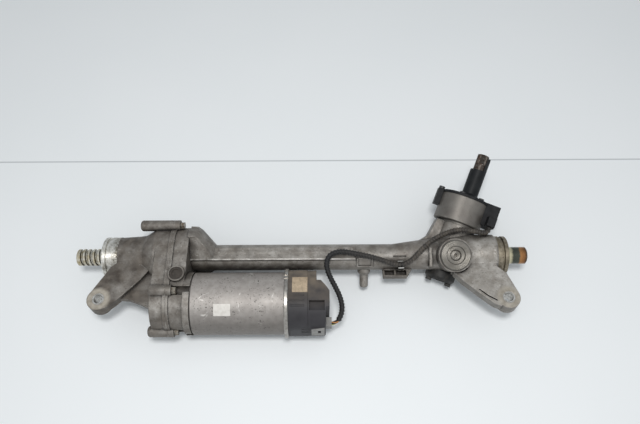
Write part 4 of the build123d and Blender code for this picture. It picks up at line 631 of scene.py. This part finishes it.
# The sensor can is the cleanest casting: even mid grey, one rough scuffed patch on its front.
sensor_casting, tree, shader, place = new_finish("die_cast_sensor_can")
rounded = add_node(tree, "ShaderNodeBevel", {"Radius": 0.0012}, samples=4).outputs["Normal"]
near_scuff = near(tree, place, SCUFF_CENTRE, SCUFF_REACH, SCUFF_CORE)
scuffs = where_all(tree, near_scuff, stains(tree, place, 2.5, 0.55))
skin = layered(
    tree,
    "#74716c",
    (stains(tree, place, 22, 0.5, 0.25), "#615d59"),
    (stains(tree, place, 3.4, 0.16), "#5f5b56"),
    (scuffs, "#c9c6c1"),
)
tree.links.new(skin, shader.inputs["Base Color"])
scuff_gloss = add_node(tree, "ShaderNodeMapRange", {"Value": scuffs, "To Min": 0.5, "To Max": 0.35})
tree.links.new(scuff_gloss.outputs["Result"], shader.inputs["Roughness"])
tree.links.new(stains(tree, place, 12, 0.5, 0.2, low=0.7, high=0.5), shader.inputs["Metallic"])
grained(tree, shader, place, 1.4, 0.2, rounded, detail=3)
coat(sensor_casting, "sensor_housing")

# Moulded glass-filled polyamide cover: black, fine spark-eroded texture, light dust.
cover_plastic, tree, shader, place = mottled_finish(
    "moulded_black_polyamide", "#131416", "#252628", 8, 0.35, 0.2, Roughness=0.55, Specular_IOR_Level=0.18
)
rounded = add_node(tree, "ShaderNodeBevel", {"Radius": 0.0008}, samples=4).outputs["Normal"]
grained(tree, shader, place, 1.1, 0.1, rounded)
coat(cover_plastic, "sensor_cover", "tower_plug")

# Dust sleeve: moulded rubber, black and smooth with a soft sheen down its side.
sleeve_rubber, tree, shader, place = mottled_finish(
    "moulded_sleeve_rubber", "#121416", "#1e2022", 11, 0.4, 0.25, Roughness=0.5, Specular_IOR_Level=0.18
)
grained(tree, shader, place, 1.6, 0.1)
coat(sleeve_rubber, "dust_sleeve")

# Splined shaft end: plain steel gone dark, with rust-brown patches and a few bright rubs.
rusted_steel, tree, shader, place = new_finish("rusted_shaft_steel", Metallic=0.75)
shaft_colour = layered(
    tree,
    "#4f4b47",
    (stains(tree, place, 4, 0.5, 0.12), "#3b2e26"),
    (stains(tree, place, 2.6, 0.1, 0.04), "#b5b1aa"),
)
tree.links.new(shaft_colour, shader.inputs["Base Color"])
tree.links.new(stains(tree, place, 3, 0.5, 0.2, low=0.3, high=0.6), shader.inputs["Roughness"])
coat(rusted_steel, "input_shaft")

# Pressed magnetic steel: mid grey, even. Plastic-bonded magnets: darker grey, satin.
pressed_ring = mottled_finish(
    "pressed_sensor_steel", "#8a8d90", "#6c6f72", 4, 0.5, 0.2, Metallic=0.8, Roughness=0.4
)[0]
coat(pressed_ring, "pickup_ring", "rotor_core", "stator")
bonded_magnet = mottled_finish(
    "bonded_ferrite_magnet", "#4a4b4e", "#38393b", 4, 0.5, 0.2, Metallic=0.3, Roughness=0.5
)[0]
coat(bonded_magnet, "magnet_ring", "rotor_magnets")

# Glass-epoxy boards under green solder resist, with a faint pattern of tracks 2 mm long.
board, tree, shader, place = new_finish("solder_resist_on_epoxy", Roughness=0.35, IOR=1.5)
track_shape = {"Vector": place, "Scale": 0.5 / BOARD_TRACK_LENGTH, "Mortar Size": 0.04}
tracks = add_node(tree, "ShaderNodeTexBrick", track_shape).outputs["Fac"]
tree.links.new(layered(tree, "#2c5a3c", (tracks, "#3f7a52")), shader.inputs["Base Color"])
coat(board, "sensor_board", "control_board")


# ---------------------------------------------------------------- motor
# An impact-extruded aluminium can holds the stator; the rotor runs in two ball bearings.
# A bright plated end ring clamps the can to the control unit.

SCRATCH_SPACING = 21
SCRATCH_BEND = (26, 26, 26)
WINDING_PITCH = 0.907

# Impact-extruded aluminium: satin silver-grey along its top, cloudy, sown with
# small dark corrosion specks, and scratched by handling. Its lower side is darkened with painted shade.
can_aluminium, tree, shader, place = new_finish("extruded_aluminium_can")
specks = where_all(tree, stains(tree, place, 17, 0.5, 0.1), stains(tree, place, 2.3, 0.24, 0.03))
# The scratches run along the edges of bent cells, and show only here and there.
bend = add_node(tree, "ShaderNodeTexNoise", {"Vector": place, "Scale": 1 / 24, "Detail": 1}).outputs["Color"]
bent = add_node(tree, "ShaderNodeVectorMath", {0: bend, 1: SCRATCH_BEND, 2: place}, operation="MULTIPLY_ADD")
cells = {"Vector": bent.outputs[0], "Scale": 1 / SCRATCH_SPACING}
strokes = add_node(tree, "ShaderNodeTexVoronoi", cells, feature="DISTANCE_TO_EDGE").outputs["Distance"]
stroke_limits = {"Value": strokes, "From Min": 0.03, "From Max": 0.008}
stroke = add_node(tree, "ShaderNodeMapRange", stroke_limits).outputs["Result"]
scratch = where_all(tree, stroke, stains(tree, place, 13, 0.2, 0.05))
true_normal = add_node(tree, "ShaderNodeNewGeometry").outputs["Normal"]
skin = layered(
    tree,
    "#a8a4a0",
    (stains(tree, place, 26, 0.5, 0.3), "#98938f"),
    (stains(tree, place, 7, 0.35, 0.2), "#8f8a86"),
    (specks, "#2b2723"),
    (scratch, "#d6d3cf"),
    # Darker towards the bottom of the can: painted shade.
    (along(tree, true_normal, "Z", 0.92, 0.45, high=0.6), "#4c4843"),
)
tree.links.new(skin, shader.inputs["Base Color"])
tree.links.new(stains(tree, place, 9, 0.5, 0.25, low=0.48, high=0.6), shader.inputs["Roughness"])
speck_metal = add_node(tree, "ShaderNodeMapRange", {"Value": specks, "To Min": 0.4, "To Max": 0.1})
tree.links.new(speck_metal.outputs["Result"], shader.inputs["Metallic"])
grained(tree, shader, place, 7, 0.22, detail=3)
coat(can_aluminium, "motor_can")

# Plated end ring: bright, with pale grey wear.
plated_ring, tree, shader, place = mottled_finish(
    "bright_plated_ring", "#aca9a4", "#86827d", 4, 0.5, 0.2, Metallic=0.9
)
tree.links.new(stains(tree, place, 3, 0.5, 0.2, low=0.25, high=0.42), shader.inputs["Roughness"])
coat(plated_ring, "motor_end_ring")

# Enamelled copper wire, varnished: orange-brown, glossy, in turns 0.9 mm apart. The diagonal
# bands of the wave pattern run at half the rate along three axes at once.
copper, tree, shader, place = new_finish("enamelled_copper", Metallic=0.9, Roughness=0.3)
turn_scale = 2 * WAVE_PITCH / (math.sqrt(3) * WINDING_PITCH)
turn_shape = {"Vector": place, "Scale": turn_scale, "Distortion": 1.5}
turns = add_node(tree, "ShaderNodeTexWave", turn_shape, bands_direction="DIAGONAL").outputs["Fac"]
tree.links.new(layered(tree, "#8a4a26", (turns, "#c07a45")), shader.inputs["Base Color"])
coat(copper, "windings")


# ---------------------------------------------------------------- control unit
# The controller is a moulded black case with ribs, and a nose with the two vehicle sockets.
# Its contact pins are tinned; a dry brown dust lies towards its back.

DUST_FROM_Y = -22
DUST_FULL_Y = 30
SIDE_CONNECTOR_X = (0.2975, 0.3165)
SIDE_CONNECTOR_Y = -0.04255
SIDE_CONNECTOR_Z = (-0.0105, 0.0155)

# Moulded glass-filled polyamide: charcoal, satin, with brown dust settled towards the back.
ecu_plastic, tree, shader, place = new_finish(
    "moulded_glass_filled_polyamide", Roughness=0.55, Specular_IOR_Level=0.3
)
rounded = add_node(tree, "ShaderNodeBevel", {"Radius": 0.0012}, samples=4).outputs["Normal"]
at_back = along(tree, place, "Y", DUST_FROM_Y, DUST_FULL_Y)
case_colour = layered(
    tree,
    "#2b2a2d",
    (stains(tree, place, 14, 0.5, 0.25), "#363538"),
    (where_all(tree, at_back, stains(tree, place, 12, 0.7, 0.3)), "#7a7063"),
)
tree.links.new(case_colour, shader.inputs["Base Color"])
# The eroded texture is really 0.2 mm; it is drawn at 1.1 mm so that it shows.
grained(tree, shader, place, 1.1, 0.14, rounded)
coat(ecu_plastic, "ecu_housing", "ecu_cover")

# Tinned contacts: bright silver-white.
tin = mottled_finish(
    "tinned_contacts", "#d9dadb", "#bfc0c2", 2, 0.5, 0.2, Metallic=1.0, Roughness=0.25
)[0]
coat(tin, "socket_pins")

# Grey moulded polyester plug: mid grey, matt, a little soiled.
grey_plastic = mottled_finish(
    "moulded_grey_polyester", "#8c8c8a", "#787673", 5, 0.5, 0.2, Roughness=0.55, Specular_IOR_Level=0.35
)[0]
coat(grey_plastic, "sensor_plug")


def on_side_connector(point):
    """True on the flat connector that stands off the nose's near side."""
    left, right = SIDE_CONNECTOR_X
    low, high = SIDE_CONNECTOR_Z
    return left < point.x < right and point.y < SIDE_CONNECTOR_Y and low < point.z < high


coat_faces("ecu_cover", grey_plastic, on_side_connector)


# ---------------------------------------------------------------- sensor lead
# Corrugated polyamide conduit with three wires, from the control unit's nose along the tube to the
# torque sensor. A steel clip holds it to the bracket; its wires show at the first plug.

LEAD_DIAMETER = 0.0084
LEAD_POINTS = [
    (0.3260, -0.0280, -0.0040),
    (0.3310, -0.0280, -0.0040),
    (0.3360, -0.0240, -0.0025),
    (0.3400, -0.0165, -0.0005),
    (0.3415, -0.0060, 0.0030),
    (0.3385, 0.0070, 0.0070),
    (0.3320, 0.0200, 0.0115),
    (0.3250, 0.0320, 0.0160),
    (0.3200, 0.0440, 0.0200),
    (0.3195, 0.0550, 0.0235),
    (0.3240, 0.0635, 0.0255),
    (0.3325, 0.0680, 0.0260),
    (0.3440, 0.0695, 0.0255),
    (0.3590, 0.0670, 0.0245),
    (0.3750, 0.0640, 0.0235),
    (0.3910, 0.0600, 0.0220),
    (0.4060, 0.0560, 0.0190),
    (0.4190, 0.0525, 0.0155),
    (0.4310, 0.0525, 0.0150),
    (0.4420, 0.0570, 0.0200),
    (0.4530, 0.0665, 0.0270),
    (0.4650, 0.0780, 0.0310),
    (0.4800, 0.0880, 0.0330),
    (0.4960, 0.0950, 0.0340),
    (0.5120, 0.0990, 0.0350),
    (0.52642, 0.09857, 0.03375),
    (0.53962, 0.09777, 0.03084),
    (0.54966, 0.09763, 0.02691),
    (0.55576, 0.10029, 0.02495),
    (0.55838, 0.10359, 0.02461),
    (0.56027, 0.10798, 0.02666),
]
# The corrugation is really about 2.5 mm apart; it is drawn at 4.2 mm so that it shows.
CORRUGATION_PITCH = 0.0042
CORRUGATION_DEPTH = 0.0011
LEAD_STEP = CORRUGATION_PITCH / 4
LEAD_DUST_X = (330, 450)
BARE_WIRES = 0.010
WIRE_BUNDLE_RADIUS = 0.0021
WIRE_RADIUS = 0.0009
WIRE_OVERLAP = 0.002
# The wires start this far round the bundle, lie this far apart, and twist by this much per metre.
WIRE_START = 1.2
WIRE_APART = 2.1
WIRE_TWIST = 160
WIRE_COLOURS = {
    "orange": ("#bd7d38", "#9c662c"),
    "green": ("#a3a850", "#858a41"),
    "brown": ("#6d4326", "#553420"),
}


def spline_points(name, points, steps):
    """Points along a smooth curve that has the given points as its controls."""
    curve = bpy.data.curves.new(name, "CURVE")
    curve.dimensions = "3D"
    curve.resolution_u = steps
    spline = curve.splines.new("NURBS")
    spline.points.add(len(points) - 1)
    for control, point in zip(spline.points, points):
        control.co = (*point, 1)
    spline.order_u = 3
    spline.use_endpoint_u = True
    holder = bpy.data.objects.new(name, curve)
    bpy.context.scene.collection.objects.link(holder)
    bpy.context.view_layer.update()
    mesh = bpy.data.meshes.new_from_object(holder)
    found = [vertex.co.copy() for vertex in mesh.vertices]
    bpy.data.objects.remove(holder)
    return found


def evenly(points, spacing):
    """The same line with its points an even distance apart."""
    result = [points[0]]
    left = spacing
    for start, end in zip(points, points[1:]):
        span = (end - start).length
        done = 0.0
        while span - done >= left:
            done += left
            result.append(start.lerp(end, done / span))
            left = spacing
        left -= span - done
    result.append(points[-1])
    return result


def tube_mesh(name, line, radius_at, sides):
    """A closed tube along a line; its radius at each distance comes from a function."""
    shape = bmesh.new()
    normal = (line[1] - line[0]).orthogonal().normalized()
    travelled = 0.0
    rings = []
    for index, point in enumerate(line):
        before, after = line[max(index - 1, 0)], line[min(index + 1, len(line) - 1)]
        tangent = (after - before).normalized()
        normal = (normal - tangent * normal.dot(tangent)).normalized()
        across = tangent.cross(normal)
        if index:
            travelled += (point - line[index - 1]).length
        radius = radius_at(travelled)
        ring = []
        for side in range(sides):
            angle = 2 * math.pi * side / sides
            outward = math.cos(angle) * normal + math.sin(angle) * across
            ring.append(shape.verts.new(point + radius * outward))
        rings.append(ring)
    for lower, upper in zip(rings, rings[1:]):
        for side in range(sides):
            following = (side + 1) % sides
            shape.faces.new((lower[side], lower[following], upper[following], upper[side]))
    shape.faces.new(list(reversed(rings[0])))
    shape.faces.new(rings[-1])
    mesh = bpy.data.meshes.new(name)
    shape.to_mesh(mesh)
    shape.free()
    for face in mesh.polygons:
        face.use_smooth = True
    return mesh


def new_piece(name, mesh, material):
    """Puts a mesh into the scene as a named piece that rides on the housing."""
    piece = bpy.data.objects.new(name, mesh)
    bpy.context.scene.collection.objects.link(piece)
    mesh.materials.clear()
    mesh.materials.append(material)
    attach(piece, "housing")
    return piece


def conduit_radius(distance):
    """Corrugated tube, with the bare wires in front of it at the control unit."""
    if distance < BARE_WIRES:
        return WIRE_BUNDLE_RADIUS
    wave = math.cos(2 * math.pi * distance / CORRUGATION_PITCH)
    return LEAD_DIAMETER / 2 - CORRUGATION_DEPTH * (0.5 - 0.5 * wave)


# Corrugated polyamide: black and satin near the control unit, dusty brown-grey from the clip on, its valleys
# darkened by painted shade and some dirt.
conduit_plastic, tree, shader, place = new_finish(
    "corrugated_polyamide", Roughness=0.55, Specular_IOR_Level=0.3
)
to_tower = along(tree, place, "X", *LEAD_DUST_X)
hose_colour = layered(
    tree,
    "#1f1f21",
    (stains(tree, place, 6, 0.5, 0.2), "#29292b"),
    (where_all(tree, to_tower, stains(tree, place, 9, 0.65, 0.2)), "#57514a"),
    # The corrugation's valleys: painted shade, with some dirt.
    (in_hollows(tree, 0.003, 0.99, 0.86), "#0c0c0b"),
)
tree.links.new(hose_colour, shader.inputs["Base Color"])

lead_line = evenly(spline_points("lead_route", LEAD_POINTS, 12), LEAD_STEP)
conduit_mesh = tube_mesh("sensor_conduit", lead_line, conduit_radius, 14)
conduit_piece = new_piece("sensor_conduit", conduit_mesh, conduit_plastic)
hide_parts("conduit")

# Insulated wires, extruded PVC: orange, green and brown, glossy and thin.
for number, (colour, shades) in enumerate(WIRE_COLOURS.items()):
    wire_plastic = mottled_finish(
        f"extruded_{colour}_wire", *shades, 2, 0.5, 0.2, Roughness=0.35, IOR=1.53
    )[0]
    wire_line = []
    for step, point in enumerate(lead_line):
        distance = step * LEAD_STEP
        if distance > BARE_WIRES + WIRE_OVERLAP:
            break
        angle = WIRE_APART * number + WIRE_START + distance * WIRE_TWIST
        wire_line.append(point + Vector((0, math.cos(angle), math.sin(angle))) * WIRE_BUNDLE_RADIUS)
    wire_mesh = tube_mesh(f"lead_wire_{colour}", wire_line, lambda distance: WIRE_RADIUS, 8)
    new_piece(f"lead_wire_{colour}", wire_mesh, wire_plastic)


# ---------------------------------------------------------------- labels
# Two blank stickers: a white one on the motor can and a yellowed one on the control unit.
# Each is a thin plastic film, pressed down over the round surface.

MOTOR_Y = 0.001
MOTOR_Z = -0.002
CAN_RADIUS = 0.044
CASE_TOP = 0.043
CASE_CORNER = 0.034
CASE_FLAT = 0.010
FILM_LIFT = 0.00005
FILM_THICKNESS = 0.00012
# Where each label starts and ends along X, and, in degrees from straight up, around the surface.
MOTOR_LABEL_X = (0.1650, 0.1880)
MOTOR_LABEL_ARC = (22, 43.7)
UNIT_LABEL_X = (0.2716, 0.2927)
UNIT_LABEL_ARC = (-21.6, 0)
UNIT_LABEL_NEAR_EDGE = 0.0007


def film_mesh(name, left, right, under, over):
    """A closed film between two outlines in Y and Z, which runs straight along X."""
    loop = over + under[::-1]
    shape = bmesh.new()
    ends = [[shape.verts.new((x, y, z)) for y, z in loop] for x in (left, right)]
    for start, following in zip(range(len(loop)), [*range(1, len(loop)), 0]):
        shape.faces.new((ends[0][start], ends[0][following], ends[1][following], ends[1][start]))
    for end in ends:
        for step in range(len(over) - 1):
            shape.faces.new((end[step], end[step + 1], end[-2 - step], end[-1 - step]))
    bmesh.ops.recalc_face_normals(shape, faces=shape.faces[:])
    mesh = bpy.data.meshes.new(name)
    shape.to_mesh(mesh)
    shape.free()
    return mesh


def arc_points(y, z, radius, start, end, steps):
    """Points on an arc, by angles in degrees from straight up towards the front."""
    points = []
    for step in range(steps + 1):
        angle = math.radians(start + (end - start) * step / steps)
        points.append((y - radius * math.sin(angle), z + radius * math.cos(angle)))
    return points


# White polyester film: clean white, faintly grey where dirt has rubbed in.
white_film = mottled_finish(
    "white_polyester_film", "#d2cfca", "#bfbbb5", 6, 0.3, 0.15, Roughness=0.35, IOR=1.57
)[0]
# Yellowed paper film: tan, mottled by damp.
tan_film, tree, shader, place = new_finish("yellowed_paper_film", Roughness=0.55, Specular_IOR_Level=0.35)
tan_colour = layered(
    tree,
    "#b6a48c",
    (stains(tree, place, 4, 0.5, 0.2), "#968874"),
    (stains(tree, place, 1.8, 0.2, 0.06), "#877a67"),
)
tree.links.new(tan_colour, shader.inputs["Base Color"])

corner_y, corner_z = MOTOR_Y + CASE_FLAT, MOTOR_Z + CASE_TOP - CASE_CORNER
motor_outlines = []
unit_outlines = []
for lift in (FILM_LIFT, FILM_LIFT + FILM_THICKNESS):
    motor_outlines.append(arc_points(MOTOR_Y, MOTOR_Z, CAN_RADIUS + lift, *MOTOR_LABEL_ARC, 12))
    unit_outline = arc_points(corner_y, corner_z, CASE_CORNER + lift, *UNIT_LABEL_ARC, 8)
    unit_outlines.append(unit_outline + [(MOTOR_Y - UNIT_LABEL_NEAR_EDGE, MOTOR_Z + CASE_TOP + lift)])
new_piece("motor_label", film_mesh("motor_label", *MOTOR_LABEL_X, *motor_outlines), white_film)
new_piece("unit_label", film_mesh("unit_label", *UNIT_LABEL_X, *unit_outlines), tan_film)
